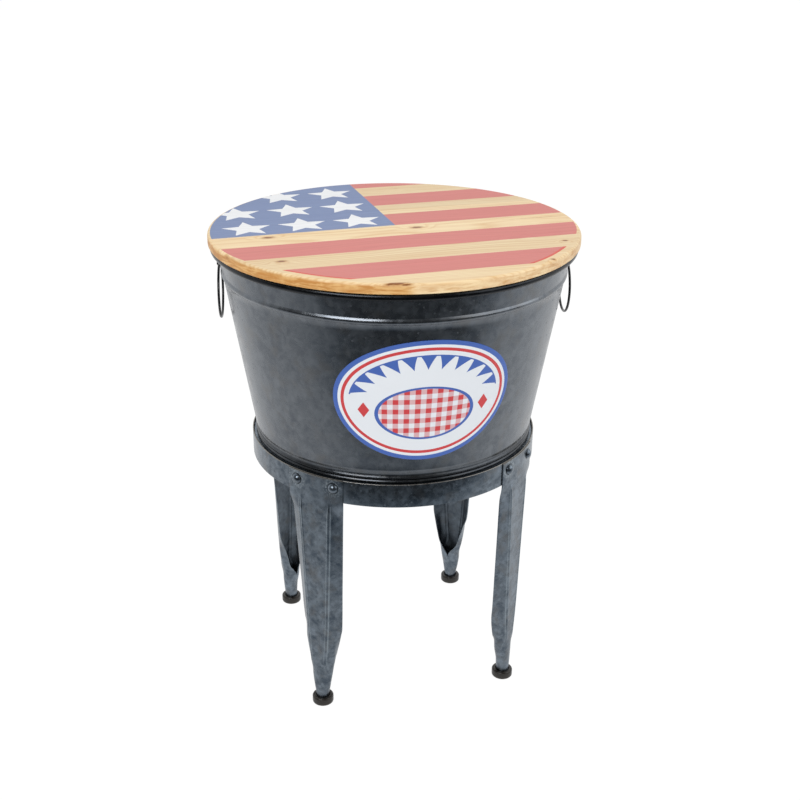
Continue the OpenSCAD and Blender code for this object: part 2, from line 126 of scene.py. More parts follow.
# A bolt's height, and its place beside its leg's middle, straight and along the plate
BOLT_Z, BOLT_SIDE, BOLT_ARC = 355.5, 28.5, 28.6
LEG_ANGLES = np.radians([225.0, 315.0, 45.0, 135.0])
LEG_NAMES = ("front_left", "front_right", "back_right", "back_left")
FOOT_R = (FOOT_LOW[0] + FOOT_HIGH[0]) / 2 * math.sqrt(2)


class LidSettings(bpy.types.PropertyGroup):
    arris: length("Board arris", "Radius of a board's eased edge along a joint", 0.35, 0.1, 2)
    edge_round: length("Upper round", "Radius of the lid's rounded upper edge", 4, 1, 6)
    edge_ease: length("Lower ease", "Radius of the lid's eased lower edge", 1.5, 0.5, 4)
    stripe: length("Stripe half width", "Half the width of a red stripe", 28.4, 10, 50)
    stripe_step: length("Stripe step", "Distance from one red stripe to the next", 106.6, 60, 200)
    star: length("Star radius", "Distance from a star's middle to its points", 34.7, 10, 38)
    pale_wood: tint("Earlywood", "Pale part of the pine's rings", "#F3DDB2")
    dark_wood: tint("Latewood", "Dark part of the pine's rings", "#DDB47C")
    edge_wood: tint("Edge", "Lacquered end grain and edge of the boards", "#D7A359")
    knot: tint("Knot", "Heart of a knot", "#86501F")
    red_ink: tint("Red ink", "Stripes of the printed top", "#D57E79")
    blue_ink: tint("Blue ink", "Canton of the printed top", "#7488B2")
    white_ink: tint("White ink", "Stars of the printed top", "#F1F3F6")


class TubSettings(bpy.types.PropertyGroup):
    bead_proud: length("Bead", "How far the swaged bead stands proud", 2.2, 0.5, 4)
    seam_proud: length("Seam", "How far the bottom seam's rolls stand proud", 1.6, 0.5, 2)
    dark_zinc: tint("Dark zinc", "Dark part of the tub's mottled zinc", "#61666D")
    mid_zinc: tint("Middle zinc", "Middle tone of the tub's mottled zinc", "#6E7379")
    pale_zinc: tint("Pale zinc", "Pale patches of the tub's mottled zinc", "#7D8288")
    label_blue: tint("Label blue", "Border and pennants of the label", "#3E5FAA")
    label_red: tint("Label red", "Ring and checks of the label", "#C43A3E")
    label_white: tint("Label white", "Ground of the label", "#D8DCE1")


class StandSettings(bpy.types.PropertyGroup):
    dark_zinc: tint("Dark zinc", "Dark part of the stand's mottled zinc", "#4E5863")
    mid_zinc: tint("Middle zinc", "Middle tone of the stand's mottled zinc", "#6A737C")
    pale_zinc: tint("Pale zinc", "Pale patches of the stand's mottled zinc", "#838E99")
    worn_edge: tint("Worn edge", "Bare upper edge of the hoop", "#A8A195")
    foot: tint("Foot caps", "Moulded foot caps", "#1E1A16")
    handle: tint("Handles", "Black enamel of rings and ears", "#0E0F11")


class StudioSettings(bpy.types.PropertyGroup):
    lens: bpy.props.FloatProperty(name="Lens", description="Focal length on a 36 mm sensor",
                                  default=54.366, min=20, max=200, unit="CAMERA")
    shift: bpy.props.FloatProperty(
        name="Shift", description="Sideways shift of the lens, as a share of the picture",
        default=0.02938, min=-0.1, max=0.1, subtype="FACTOR")
    level: bpy.props.FloatProperty(
        name="Sky level", description="Light of the white sky on dull surfaces",
        default=0.62, min=0, max=1)


def join(socket, value):
    """Links an output to an input, or sets the input to a plain number, place or colour."""
    if isinstance(value, bpy.types.NodeSocket):
        socket.id_data.links.new(value, socket)
    elif socket.type == "RGBA":
        socket.default_value = (*value[:3], 1)
    else:
        socket.default_value = value


MODES = {"Mix": "data_type", "MapRange": "interpolation_type", "TexWhiteNoise": "noise_dimensions"}


def add(tree, kind, *inputs, out=None, stops=(), **named):
    """Adds one node and returns its first visible output, the output named by out, or all of
    them where out is "all". kind is the node's type with, after a colon, its operation or
    mode. Inputs go to its visible sockets in order, and to those that capital names give.
    Small names are the node's settings, and stops are a ramp's places and colours."""
    kind, _, mode = kind.partition(":")
    node = tree.nodes.new("ShaderNode" + kind)
    if mode:
        setattr(node, MODES.get(kind, "operation"), mode)
    for name in [name for name in named if name.islower()]:
        setattr(node, name, named.pop(name))
    for socket, value in zip([socket for socket in node.inputs if socket.enabled], inputs):
        join(socket, value)
    for name, value in named.items():
        join(node.inputs[name], value)
    for i, (place, value) in enumerate(stops):
        ramp = node.color_ramp.elements
        stop = ramp[i] if i < 2 else ramp.new(place)
        stop.position = place
        stop.color = (*value, 1)
    if out == "all":
        return node.outputs
    return node.outputs[out] if out else next(socket for socket in node.outputs if socket.enabled)


def finish_of(name):
    """A new material, what adds nodes to it, and its object coordinates in millimetres."""
    material = bpy.data.materials.new(name)
    material.use_nodes = True
    node = partial(add, material.node_tree)
    return material, node, node("VectorMath:SCALE", node("TexCoord", out="Object"), 1 / MM)


def coat(material, **sockets):
    """Joins values to the material's surface shader and returns the material. Each name is a
    socket's, with _ for its spaces."""
    surface = material.node_tree.nodes["Principled BSDF"]
    for name, value in sockets.items():
        join(surface.inputs[name.replace("_", " ")], value)
    return material


def zigzag(node, value):
    """Size of a value's fraction less a half: 0.5 at whole numbers and 0 midway."""
    return node("Math:ABSOLUTE", node("Math:SUBTRACT", node("Math:FRACT", value), 0.5))


def reach(node, vector, scale):
    """Length of a vector whose parts are first multiplied by those of scale."""
    return node("VectorMath:LENGTH", node("VectorMath:MULTIPLY", vector, scale))


def grown(node, log, stretch, sway, rough):
    """Places in a log, bent by its slow growth: noise over places times stretch, times sway.
    Returns them and their distance from the log's heart, the axis that has no sway."""
    slow = node("TexNoise", node("Mapping", log, Scale=stretch), Scale=1.0, Detail=2.0,
                Roughness=rough, out="Color")
    bent = node("VectorMath:ADD", log, node("VectorMath:MULTIPLY", slow, sway))
    return bent, reach(node, bent, [float(v > 0) for v in sway])


# Middles and half sizes of the knots in the lid's own frame. The tenth is a dark streak in
# the face, and the last four lie in the back edge and the underside.
KNOTS = (
    ((-174, -11.4, LID_TOP), (7.5, 4, 9)), ((27.9, -13.8, LID_TOP), (8, 4, 9)),
    ((-177.3, -119, LID_TOP), (6, 3.5, 8)), ((-71, -237.6, LID_TOP), (9, 2.2, 3)),
    ((-63, -239.6, LID_TOP - 0.2), (10, 2.4, 2.6)), ((-53, -242.6, LID_TOP - 1.4), (7, 2.2, 1.3)),
    ((-240, -80, LID_TOP - 3), (4, 8, 3)), ((194.8, -124.4, LID_TOP), (3.7, 2.7, 3.5)),
    ((147.9, -196.4, LID_TOP - 1), (3.4, 2.4, 2.6)), ((205, -9.2, LID_TOP - 4), (38, 1.1, 4)),
    ((-90, 236, LID_Z + 8), (12, 9, 4)), ((60, 205, LID_Z), (9, 6, 9)),
    ((-120, 40, LID_Z), (10, 6, 9)), ((140, -90, LID_Z), (8, 5, 9)),
)


def knotted_pine(node, mm, lid):
    """Colour of the lacquered boards, with the strength of their grain, fibres and knots."""
    local = node("Mapping", mm, Rotation=(0, 0, -LID_TURN))
    x, y, z = node("SeparateXYZ", local, out="all")
    # Board number from the front, which gives each board its own log
    number = node("Math:MULTIPLY", node("Math:ADD", y, LID_R), BOARDS / (2 * LID_R))
    number = node("Math:FLOOR", number)
    chance = node("TexWhiteNoise:1D", number, out="Color")
    # The log's heart lies up to 85 mm aside of the lid's middle, 25 to 85 mm down
    aside = node("VectorMath:MULTIPLY", chance, (900.0, 170.0, 60.0))
    aside = node("VectorMath:ADD", aside, (0.0, -85.0, 25.0 - LID_TOP))
    log = node("VectorMath:ADD", local, aside)
    # Growth wanders over 90 mm across the board and 360 mm along it
    bent, radius = grown(node, log, (0.0028, 0.011, 0.011), (0.0, 46.0, 46.0), 0.45)
    spots = [reach(node, node("VectorMath:ADD", local, [-v for v in middle]), [1 / v for v in half])
             for middle, half in KNOTS]
    heart = reduce(partial(node, "Math:MINIMUM"), spots)
    wander = node("Math:MULTIPLY_ADD", node("TexNoise", mm, Scale=0.22, Detail=3.0), 0.9, -0.45)
    heart = node("Math:ADD", heart, wander)
    bulge = node("MapRange:SMOOTHSTEP", heart, 0.6, 4.5, 9.0, 0.0)
    # Rings are 5.5 mm apart, each pale and then slowly darker up to a sharp end
    ring = node("Math:MULTIPLY", node("Math:ADD", radius, bulge), 1 / 5.5)
    greys = ((0.0, 0.55), (1.0, 0.5), (0.1, 0.0), (0.55, 0.12), (0.86, 1.0))
    greys = [(place, (grey,) * 3) for place, grey in greys]
    ring = node("ValToRGB", node("Math:FRACT", ring), stops=greys)
    # The round edge took more lacquer, most of all on end grain
    patch = node("TexNoise", mm, Scale=0.035, Detail=3.0, Distortion=0.6)
    patch = node("Math:MULTIPLY_ADD", patch, 3.4, -1.7)
    edge = node("Math:ADD", node("Math:SUBTRACT", LID_TOP, z), patch)
    edge = node("MapRange:SMOOTHSTEP", edge, 0.4, 4.2)
    # Fibres 1.2 mm across and 70 mm long, in bands of 11 mm
    fibre = node("Mapping", bent, Scale=(0.014, 0.8, 0.8))
    fibre = node("TexNoise", fibre, Scale=1.0, Detail=3.0, Roughness=0.6)
    band = node("Mapping", bent, Scale=(0.004, 0.09, 0.09))
    band = node("TexNoise", band, Scale=1.0, Detail=1.5)
    # On the edge the rings show less, and swirls of 50 mm take their place: bold at the left,
    # faint right of the front knot and on the underside
    straw = node("MapRange:SMOOTHSTEP", x, -56.0, -38.0)
    under = node("MapRange", z, LID_Z + 1.5, LID_Z + 0.3)
    bold = node("Math:MULTIPLY_ADD", node("Math:MAXIMUM", straw, under), -0.62, 1.0)
    swirl = node("Mapping", local, Scale=(0.02, 0.02, 0.13))
    swirl = node("TexNoise", swirl, Scale=1.0, Detail=4.0, Roughness=0.55, Distortion=1.6)
    swirl = node("Math:MULTIPLY", node("MapRange", swirl, 0.44, 0.64, -0.15, 1.05), edge)
    swirl = node("Math:MULTIPLY", swirl, bold)
    dark = node("Math:MULTIPLY", ring, node("Math:MULTIPLY_ADD", edge, -0.34, 0.42))
    dark = node("Math:MULTIPLY_ADD", fibre, 0.5, node("Math:ADD", dark, swirl))
    dark = node("MapRange", node("Math:MULTIPLY_ADD", band, 0.9, dark), 0.5, 1.35)
    wood = node("Mix:RGBA", dark, lid.pale_wood, lid.dark_wood)
    # Each board is a little paler or darker than its neighbours
    tone = node("TexWhiteNoise:1D", node("Math:ADD", number, 3.7))
    tone = node("MapRange", tone, 0.0, 1.0, 0.9, 1.05)
    wood = node("HueSaturation", Value=tone, Color=wood)
    # The edge is golden at the left and straw-coloured right of the front knot
    deep = node("Mix:RGBA", node("Math:MULTIPLY", straw, 0.85), lid.edge_wood, lid.pale_wood)
    deep = node("HueSaturation", Value=0.95, Color=node("Mix:RGBA", 0.8, wood, deep))
    share = node("Math:MULTIPLY", dark, 0.75, use_clamp=True)
    deep = node("Mix:RGBA", share, deep, linear("#B5762F"))
    rim = node("MapRange:SMOOTHSTEP", heart, 0.75, 1.9, 0.75, 0.0)
    core = node("MapRange:SMOOTHSTEP", heart, 0.45, 1.0, 1.0, 0.0)
    for mask, tone in ((edge, deep), (rim, linear("#B98348")), (core, lid.knot)):
        wood = node("Mix:RGBA", mask, wood, tone)
    return wood, dark, fibre, core


def printed_pine(lid):
    """Edge-glued pine boards, sanded, printed with thin ink on top and sealed with satin
    lacquer: straight pale grain with a few knots, golden end grain, matt pale ink."""
    material, node, mm = finish_of("printed_pine")
    wood, dark, fibre, core = knotted_pine(node, mm, lid)
    # The print was laid 0.8 degrees off the boards, with an edge that wanders by 0.3 mm
    bleed = node("TexNoise", mm, Scale=0.6, Detail=2.0, out="Color")
    bleed = node("VectorMath:SCALE", node("VectorMath:ADD", bleed, (-0.5,) * 3), 0.9)
    laid = node("Mapping", node("VectorMath:ADD", mm, bleed), Rotation=(0, 0, math.radians(-2.588)))
    x, y, z = node("SeparateXYZ", laid, out="all")
    flat = node("VectorMath:MULTIPLY", laid, (1.0, 1.0, 0.0))
    # It runs onto the round at the back, but stops short of it at the front
    front = node("VectorMath:DOT_PRODUCT", node("VectorMath:NORMALIZE", flat), (0.035, -1.0, 0.0))
    outline = node("MapRange:SMOOTHSTEP", front, 0.2, 0.75, LID_R - 3.8, LID_R - 11.6)
    beyond = node("Math:SUBTRACT", node("VectorMath:LENGTH", flat), outline)
    inside = node("Math:MULTIPLY", node("Math:LESS_THAN", beyond, 0.0),
                  node("Math:GREATER_THAN", z, LID_TOP - 6.0))
    step, first_stripe = lid.stripe_step / MM, 33.1
    red = zigzag(node, node("Math:MULTIPLY_ADD", y, 1 / step, 0.5 - first_stripe / step))
    red = node("Math:LESS_THAN", red, lid.stripe / lid.stripe_step)
    canton_right, canton_front = 3.2, 4.7
    canton = node("Math:MULTIPLY", node("Math:LESS_THAN", x, canton_right),
                  node("Math:GREATER_THAN", y, canton_front))
    # Stars stand 76.51 mm apart in rows 77.89 mm apart. A star folds round its middle into one
    # tenth, where its side is the straight line from a point at radius 1 to a corner at 0.46
    off = []
    for place, apart, first in ((x, 76.51, -39.58), (y, 77.89, 40.61)):
        steps = node("Math:MULTIPLY_ADD", place, 1 / apart, -first / apart)
        steps = node("Math:SUBTRACT", steps, node("Math:ROUND", steps))
        off.append(node("Math:MULTIPLY", steps, apart))
    turn = node("Math:MULTIPLY_ADD", node("Math:ARCTAN2", *off), 5 / math.tau, 0.5)
    turn = node("Math:MULTIPLY", zigzag(node, turn), math.tau / 5)
    corner_x, corner_y = 0.46 * math.cos(math.pi / 5), 0.46 * math.sin(math.pi / 5)
    side = math.hypot(corner_y, 1 - corner_x)
    side_x, side_y = corner_y / side, (1 - corner_x) / side
    along = node("Math:MULTIPLY", node("Math:COSINE", turn), side_x)
    along = node("Math:MULTIPLY_ADD", node("Math:SINE", turn), side_y, along)
    along = node("Math:MULTIPLY", along, node("VectorMath:LENGTH", node("CombineXYZ", *off)))
    star = node("Math:LESS_THAN", along, side_x * lid.star / MM)
    # The row of three at the back has lost its last star over the edge
    past = node("Math:MULTIPLY", node("Math:LESS_THAN", x, -154.0),
                node("Math:GREATER_THAN", y, 157.0))
    past = node("Math:MAXIMUM", past, node("Math:LESS_THAN", x, -230.7))
    star = node("Math:SUBTRACT", star, past, use_clamp=True)
    ink = node("Mix:RGBA", star, lid.blue_ink, lid.white_ink)
    ink = node("Mix:RGBA", canton, lid.red_ink, ink)
    # The ink is drawn more saturated and a little brighter along the front edge of the print:
    # painted shading, where the round tilts away from the pale sheen that the flat top reflects
    thick = node("Math:MULTIPLY", node("MapRange", beyond, -4.6, -3.0, 0.0, 0.9),
                 node("MapRange", front, 0.4, 0.55))
    strong = node("HueSaturation", Saturation=1.27, Value=1.04, Color=ink)
    ink = node("Mix:RGBA", thick, ink, strong)
    # The grain shows faintly through the ink
    ink = node("HueSaturation", Value=node("Math:MULTIPLY_ADD", dark, -0.09, 1.03), Color=ink)
    printed = node("Math:MULTIPLY", node("Math:MAXIMUM", red, canton), inside)
    colour = node("Mix:RGBA", node("Math:MULTIPLY", printed, 0.97), wood, ink)
    rough = node("Math:MULTIPLY_ADD", fibre, 0.12, node("Math:MULTIPLY_ADD", printed, 0.16, 0.4))
    height = node("Math:MULTIPLY_ADD", core, -1.2, node("Math:MULTIPLY_ADD", fibre, 0.5, dark))
    bump = node("Bump", Strength=0.5, Distance=0.12 * MM, Height=height)
    return coat(material, Base_Color=colour, Roughness=rough, Normal=bump)


def planed_pine(lid):
    """Planed pine for battens, with its grain along Y: plainer and duller than the lid."""
    material, node, mm = finish_of("planed_pine")
    log = node("Mapping", mm, Location=(31.0, 0.0, 60.0 - LID_Z))
    bent, radius = grown(node, log, (0.012, 0.0035, 0.012), (30.0, 0.0, 30.0), 0.5)
    # Rings 4.2 mm apart, with fibres 1.2 mm across and 70 mm long
    ring = node("Math:POWER", node("Math:FRACT", node("Math:MULTIPLY", radius, 1 / 4.2)), 2.2)
    fibre = node("Mapping", bent, Scale=(0.8, 0.014, 0.8))
    fibre = node("TexNoise", fibre, Scale=1.0, Detail=3.0)
    dark = node("MapRange", node("Math:MULTIPLY_ADD", fibre, 0.7, ring), 0.2, 1.5)
    wood = node("Mix:RGBA", dark, lid.pale_wood, linear("#C99B5D"))
    wood = node("HueSaturation", Value=0.9, Color=wood)
    bump = node("Bump", Strength=0.5, Distance=0.15 * MM, Height=dark)
    return coat(material, Base_Color=wood, Roughness=0.6, Normal=bump)


# Near-black colour of painted shade: the rim under the lid, the seam over the hoop, the insides of
# the legs and the rims round the bolt heads
PAINTED_SHADE = linear("#1B1C1E")


def wear_and_shade(node, mm, place, cloud, colour, gloss, bare):
    """Wear and painted shade on the stand's sheet, laid over its colour and added to its roughness.
    place is a point's x, y and z, and cloud the strength of the zinc's clouds there. Legs stand a
    quarter turn apart, so the angle folds to that from the nearest leg."""
    x, y, z = place
    # The insides of the legs are darkened as painted shade, and their folds and free edges are
    # rubbed bare
    hollow = node("Attribute", out="Fac", attribute_name="hollow")
    fold = node("Attribute", out="Fac", attribute_name="fold")
    fold = node("Math:MULTIPLY", fold, node("MapRange", cloud, 0.3, 0.55, 0.25, 0.8))
    # Round each bolt head a dark rim, painted shade where the head meets the plate, and outside it
    # scratches from the wrench
    turn = node("Math:MULTIPLY_ADD", node("Math:ARCTAN2", y, x), 4 / math.tau, 0.0)
    aside = node("Math:MULTIPLY_ADD", zigzag(node, turn), PLATE_R * math.tau / 4, -BOLT_ARC)
    rise = node("Math:SUBTRACT", z, BOLT_Z)
    away = node("VectorMath:LENGTH", node("CombineXYZ", aside, rise))
    scratch = node("TexNoise", mm, Scale=0.45, Detail=4.0, Roughness=0.75)
    scratch = node("Math:MULTIPLY", node("MapRange", scratch, 0.5, 0.6),
                   node("MapRange", away, 16.0, 8.5))
    scratch = node("Math:MULTIPLY", scratch, node("Math:GREATER_THAN", away, 7.3))
    rim = node("Math:MULTIPLY", node("Math:COMPARE", away, 7.6, 0.6), 0.7)
    # The hoop's upper edge is worn bare, with a ragged border
    top = node("Math:MULTIPLY_ADD", node("TexNoise", mm, Scale=0.3, Detail=2.0), 0.6, z)
    top = node("MapRange", top, HOOP_TOP - 1.3, HOOP_TOP + 0.4, 0.0, 0.7)
    # The insides of the legs and the rim round each bolt take painted shade; scratches, folds and
    # the hoop's edge are wear
    for mask, tone in ((node("Math:MULTIPLY", hollow, 0.2), PAINTED_SHADE), (fold, linear("#9AA6AE")),
                       (scratch, linear("#B4BEC4")), (rim, PAINTED_SHADE), (top, bare)):
        colour = node("Mix:RGBA", mask, colour, tone)
    for mask, rougher in ((hollow, 0.2), (scratch, 0.25), (top, 0.3)):
        gloss = node("Math:MULTIPLY_ADD", mask, rougher, gloss)
    return colour, gloss


def dark_galvanised(name, zinc, patch, shaded_bands=(), bare=None):
    """Galvanised sheet darkened by an acid wash and waxed: cloudy blue-grey patches of zinc
    crystals, dark face on and bright at a glancing angle, with satin and glossy spots. The bands
    of heights given after patch are painted shade, where the colour turns nearly black, and bare is
    what wear leaves."""
    material, node, mm = finish_of(name)
    dark, mid, pale = zinc.dark_zinc, zinc.mid_zinc, zinc.pale_zinc
    # Clouds as large as patch, crystals a third of it, specks of 3 mm and a wash five times it
    cloud = node("TexNoise", mm, Scale=1 / patch, Detail=4.0, Roughness=0.62, Distortion=0.35)
    grain = node("RGBToBW", node("TexVoronoi", mm, Scale=2.6 / patch, Randomness=1.0, out="Color"))
    speck = node("TexNoise", mm, Scale=0.34, Detail=2.0, Roughness=0.6)
    wash = node("TexNoise", mm, Scale=0.2 / patch, Detail=2.0)
    mix = cloud
    for part, share in ((grain, 0.2), (wash, 0.35), (speck, 0.12)):
        mix = node("Math:MULTIPLY_ADD", part, share, mix)
    tone = node("MapRange", mix, 0.62, 1.08)
    colour = node("ValToRGB", tone, stops=[(0.0, dark), (1.0, pale), (0.45, mid)])
    # Warm grey where the wash bit deeper
    warm = node("TexNoise", mm, Scale=0.7 / patch, Detail=3.0)
    warm = node("MapRange", warm, 0.52, 0.7, 0.0, 0.45)
    grey = [0.9 * sum(mid) / 3 * k for k in (1.02, 1.0, 0.97)]
    gloss = node("MapRange", mix, 0.6, 1.1, 0.2, 0.36)
    # Matt crystals up to 3.5 mm wide, about 6 mm apart, which catch the light in the dark
    apart, chance = node("TexVoronoi", mm, Scale=1 / 6, out="all")[:2]
    size = node("MapRange", node("RGBToBW", chance), 0.5, 0.85, 0.0, 0.3)
    spot = node("MapRange", node("Math:SUBTRACT", size, apart), 0.0, 0.1)
    gloss = node("Math:MULTIPLY_ADD", spot, 0.22, gloss)
    layers = [(warm, grey), (node("Math:MULTIPLY", spot, 0.3), [min(1.3 * v, 1) for v in pale])]
    place = node("SeparateXYZ", mm, out="all")
    # Painted shade: between the given heights the colour darkens nearly to black
    layers += [(node("MapRange", place["Z"], start, end, 0.0, share), PAINTED_SHADE)
               for start, end, share in shaded_bands]
    for mask, tone in layers:
        colour = node("Mix:RGBA", mask, colour, tone)
    if bare is not None:
        colour, gloss = wear_and_shade(node, mm, place, cloud, colour, gloss, bare)
    # Sheet that was spun and pressed by hand: dents 45 mm across, crystals under the finger
    dent = node("TexNoise", mm, Scale=0.022, Detail=1.0)
    dent = node("Bump", Strength=1.0, Distance=0.5 * MM, Height=dent)
    fine = node("Bump", Strength=0.3, Distance=0.04 * MM, Height=mix, Normal=dent)
    return coat(material, Base_Color=colour, Roughness=gloss, Metallic=1.0, Normal=fine)


def zinc_plate():
    """Bright zinc plating on nuts, screws and the rim's wire: pale, fine and a little cloudy."""
    material, node, mm = finish_of("zinc_plate")
    cloud = node("TexNoise", mm, Scale=0.3, Detail=3.0)
    colour = node("ValToRGB", cloud, stops=[(0.3, linear("#8C9196")), (0.75, linear("#B9BDC0"))])
    rough = node("MapRange", cloud, 0.0, 1.0, 0.28, 0.46)
    return coat(material, Base_Color=colour, Metallic=1.0, Roughness=rough)


def black_enamel(colour):
    """Baked black enamel on wire and ears: deep gloss with faint orange peel."""
    material, node, mm = finish_of("black_enamel")
    peel = node("TexNoise", mm, Scale=0.7, Detail=1.0)
    tone = node("Mix:RGBA", peel, colour, linear("#1A1B1E"))
    rough = node("MapRange", peel, 0.0, 1.0, 0.18, 0.34)
    bump = node("Bump", Strength=0.3, Distance=0.08 * MM, Height=peel)
    return coat(material, Base_Color=tone, Roughness=rough, Normal=bump)


def moulded_nylon(colour):
    """Moulded dark nylon of the foot caps: semi-gloss, scuffed round the lower 5 mm."""
    material, node, mm = finish_of("moulded_nylon")
    scuff = node("TexNoise", mm, Scale=0.5, Detail=4.0)
    low = node("MapRange", node("SeparateXYZ", mm, out="Z"), 0.0, 5.0, 1.0, 0.0)
    tone = node("Mix:RGBA", node("Math:MULTIPLY", scuff, low), colour, linear("#4A443C"))
    rough = node("MapRange", scuff, 0.0, 1.0, 0.22, 0.42)
    bump = node("Bump", Strength=0.3, Distance=0.1 * MM, Height=scuff)
    return coat(material, Base_Color=tone, Roughness=rough, Normal=bump)


def printed_tin(tub):
    """Thin printed tin, satin varnished: blue border, red ring, an arch of blue pennants over
    an oval of red gingham, and two red diamonds. All places are in millimetres on the sheet."""
    material, node, _ = finish_of("printed_tin")
    sheet = node("VectorMath:ADD", node("UVMap", uv_map="sheet"), (-0.5, -0.5, 0.0))
    sheet = node("VectorMath:SCALE", sheet, LABEL_SPAN)
    x, y, _ = node("SeparateXYZ", sheet, out="all")
    white, blue, red = tub.label_white, tub.label_blue, tub.label_red
    inward = node("Attribute", out="Fac", attribute_name="inward")
    colour = node("Mix:RGBA", node("Math:GREATER_THAN", inward, 6.0), blue, white)
    ring = node("Math:COMPARE", inward, 12.1, 2.1)
    # Pennants hang from a line 21 mm inside the edge, over the upper half of the oval
    span = node("VectorMath:MULTIPLY", sheet, (1 / LABEL_HALF_W, 1 / LABEL_HALF_H, 0.0))
    angle = node("Math:ARCTAN2", *node("SeparateXYZ", span, out="all")[:2])
    upper = node("Math:LESS_THAN", node("Math:ABSOLUTE", angle), 1.44)
    wave = zigzag(node, node("Math:MULTIPLY_ADD", angle, 11 / 2.88, 0.5))
    depth = node("Math:SUBTRACT", inward, 21.0)
    pennant = node("Math:LESS_THAN", wave, node("MapRange", depth, 0.0, 20.0, 0.42, 0.0))
    pennant = node("Math:MULTIPLY", pennant, node("Math:GREATER_THAN", depth, 0.0))
    pennant = node("Math:MAXIMUM", pennant, node("Math:COMPARE", depth, 0.0, 0.9))
    pennant = node("Math:MULTIPLY", pennant, upper)
    # Gingham: two sets of 7 mm bands that cross, pale red where one lies and red where both do
    centre = node("VectorMath:ADD", sheet, (0.0, 17.0, 0.0))
    oval = reach(node, centre, (1 / 61, 1 / 36, 0.0))
    check = node("VectorMath:FRACTION", node("VectorMath:SCALE", centre, 1 / 14))
    bands = [node("Math:LESS_THAN", place, 0.5)
             for place in node("SeparateXYZ", check, out="all")[:2]]
    weave = node("Math:MULTIPLY", node("Math:ADD", *bands), 0.5)
    cloth = node("Mix:RGBA", weave, white, red)
    # A diamond at each side of the oval
    aside = node("Math:ABSOLUTE", node("Math:SUBTRACT", node("Math:ABSOLUTE", x), 79.0))
    rise = node("Math:ABSOLUTE", node("Math:ADD", y, 12.0))
    diamond = node("Math:LESS_THAN", node("Math:MULTIPLY_ADD", aside, 1.45, rise), 11.0)
    for mask, tone in ((ring, red), (pennant, blue), (node("Math:LESS_THAN", oval, 1.0), cloth),
                       (node("Math:COMPARE", oval, 1.03, 0.04), blue), (diamond, red)):
        colour = node("Mix:RGBA", mask, colour, tone)
    peel = node("TexNoise", sheet, Scale=0.8, Detail=2.0)
    rough = node("MapRange", peel, 0.0, 1.0, 0.3, 0.42)
    bump = node("Bump", Strength=0.25, Distance=0.06 * MM, Height=peel)
    return coat(material, Base_Color=colour, Roughness=rough, Normal=bump)


def grid_faces(rows, columns, closed_rows=False):
    """Quads between neighbouring points of a grid of closed rows, numbered row by row."""
    r = np.arange(rows if closed_rows else rows - 1)[:, None]
    c = np.arange(columns)[None, :]
    up, on = (r + 1) % rows, (c + 1) % columns
    corners = [r * columns + c, r * columns + on, up * columns + on, up * columns + c]
    return np.stack(corners, -1).reshape(-1, 4).tolist()


def stacked(loops):
    """Closed solid through loops of points (levels x points x 3): quads between neighbouring
    loops, and a flat face on the first and the last loop."""
    levels, count = loops.shape[:2]
    first, last = range(count - 1, -1, -1), range((levels - 1) * count, levels * count)
    return loops.reshape(-1, 3), grid_faces(levels, count) + [list(first), list(last)]


def angles_round(count):
    """Even angles round a circle, from 0."""
    return np.linspace(0, math.tau, count, endpoint=False)


def turned(outline, steps):
    """Closed solid of revolution: each point (r, z) of a closed outline goes round as
    (r cos a, r sin a, z) for a in even steps."""
    a = angles_round(steps)
    r, z = outline[:, 0][:, None], outline[:, 1][:, None]
    points = np.stack([r * np.cos(a), r * np.sin(a), z + 0 * a], -1)
    return points.reshape(-1, 3), grid_faces(len(outline), steps, closed_rows=True)


def rounded(corners, steps=6):
    """Outline of a polygon of (r, z, radius): each corner becomes an arc that touches both
    its sides, at radius / tan(half the corner's angle) from it."""
    parts = []
    p = np.array(corners, float)
    for k in range(len(p)):
        here, radius = p[k, :2], p[k, 2]
        a, b = p[k - 1, :2] - here, p[(k + 1) % len(p), :2] - here
        a, b = a / np.linalg.norm(a), b / np.linalg.norm(b)
        half = math.acos(np.clip(a @ b, -1, 1)) / 2
        if radius == 0 or half > 1.56:
            parts.append(here[None])
            continue
        middle = here + (a + b) / np.linalg.norm(a + b) * radius / math.sin(half)
        first, last = (here + side * radius / math.tan(half) - middle for side in (a, b))
        start, end = math.atan2(first[1], first[0]), math.atan2(last[1], last[0])
        swing = (end - start + math.pi) % math.tau - math.pi
        angles = start + swing * np.linspace(0, 1, steps)
        parts.append(middle + radius * np.stack([np.cos(angles), np.sin(angles)], -1))
    return np.concatenate(parts)


def bar(inner, outer, low, top, low_round, top_round):
    """Outline of a rectangle, with one radius for its lower corners and one for the upper."""
    return rounded([(inner, low, low_round), (outer, low, low_round), (outer, top, top_round),
                    (inner, top, top_round)])


def arc(centre, radius, start, end, steps):
    """Points round a centre from one angle to another, in degrees."""
    a = np.radians(np.linspace(start, end, steps))
    return np.array(centre) + radius * np.stack([np.cos(a), np.sin(a)], -1)


def rectangles(half_w, half_h, corner, least, inset, steps):
    """Rounded rectangles, each drawn in by an inset. The radius at their corners is corner
    less the inset, and never under least."""
    a = angles_round(steps)
    inset = inset[:, None]
    r = np.maximum(corner - inset, least)
    x = np.sign(np.cos(a + 1e-4)) * (half_w - inset - r) + r * np.cos(a)
    y = np.sign(np.sin(a + 1e-4)) * (half_h - inset - r) + r * np.sin(a)
    return x, y


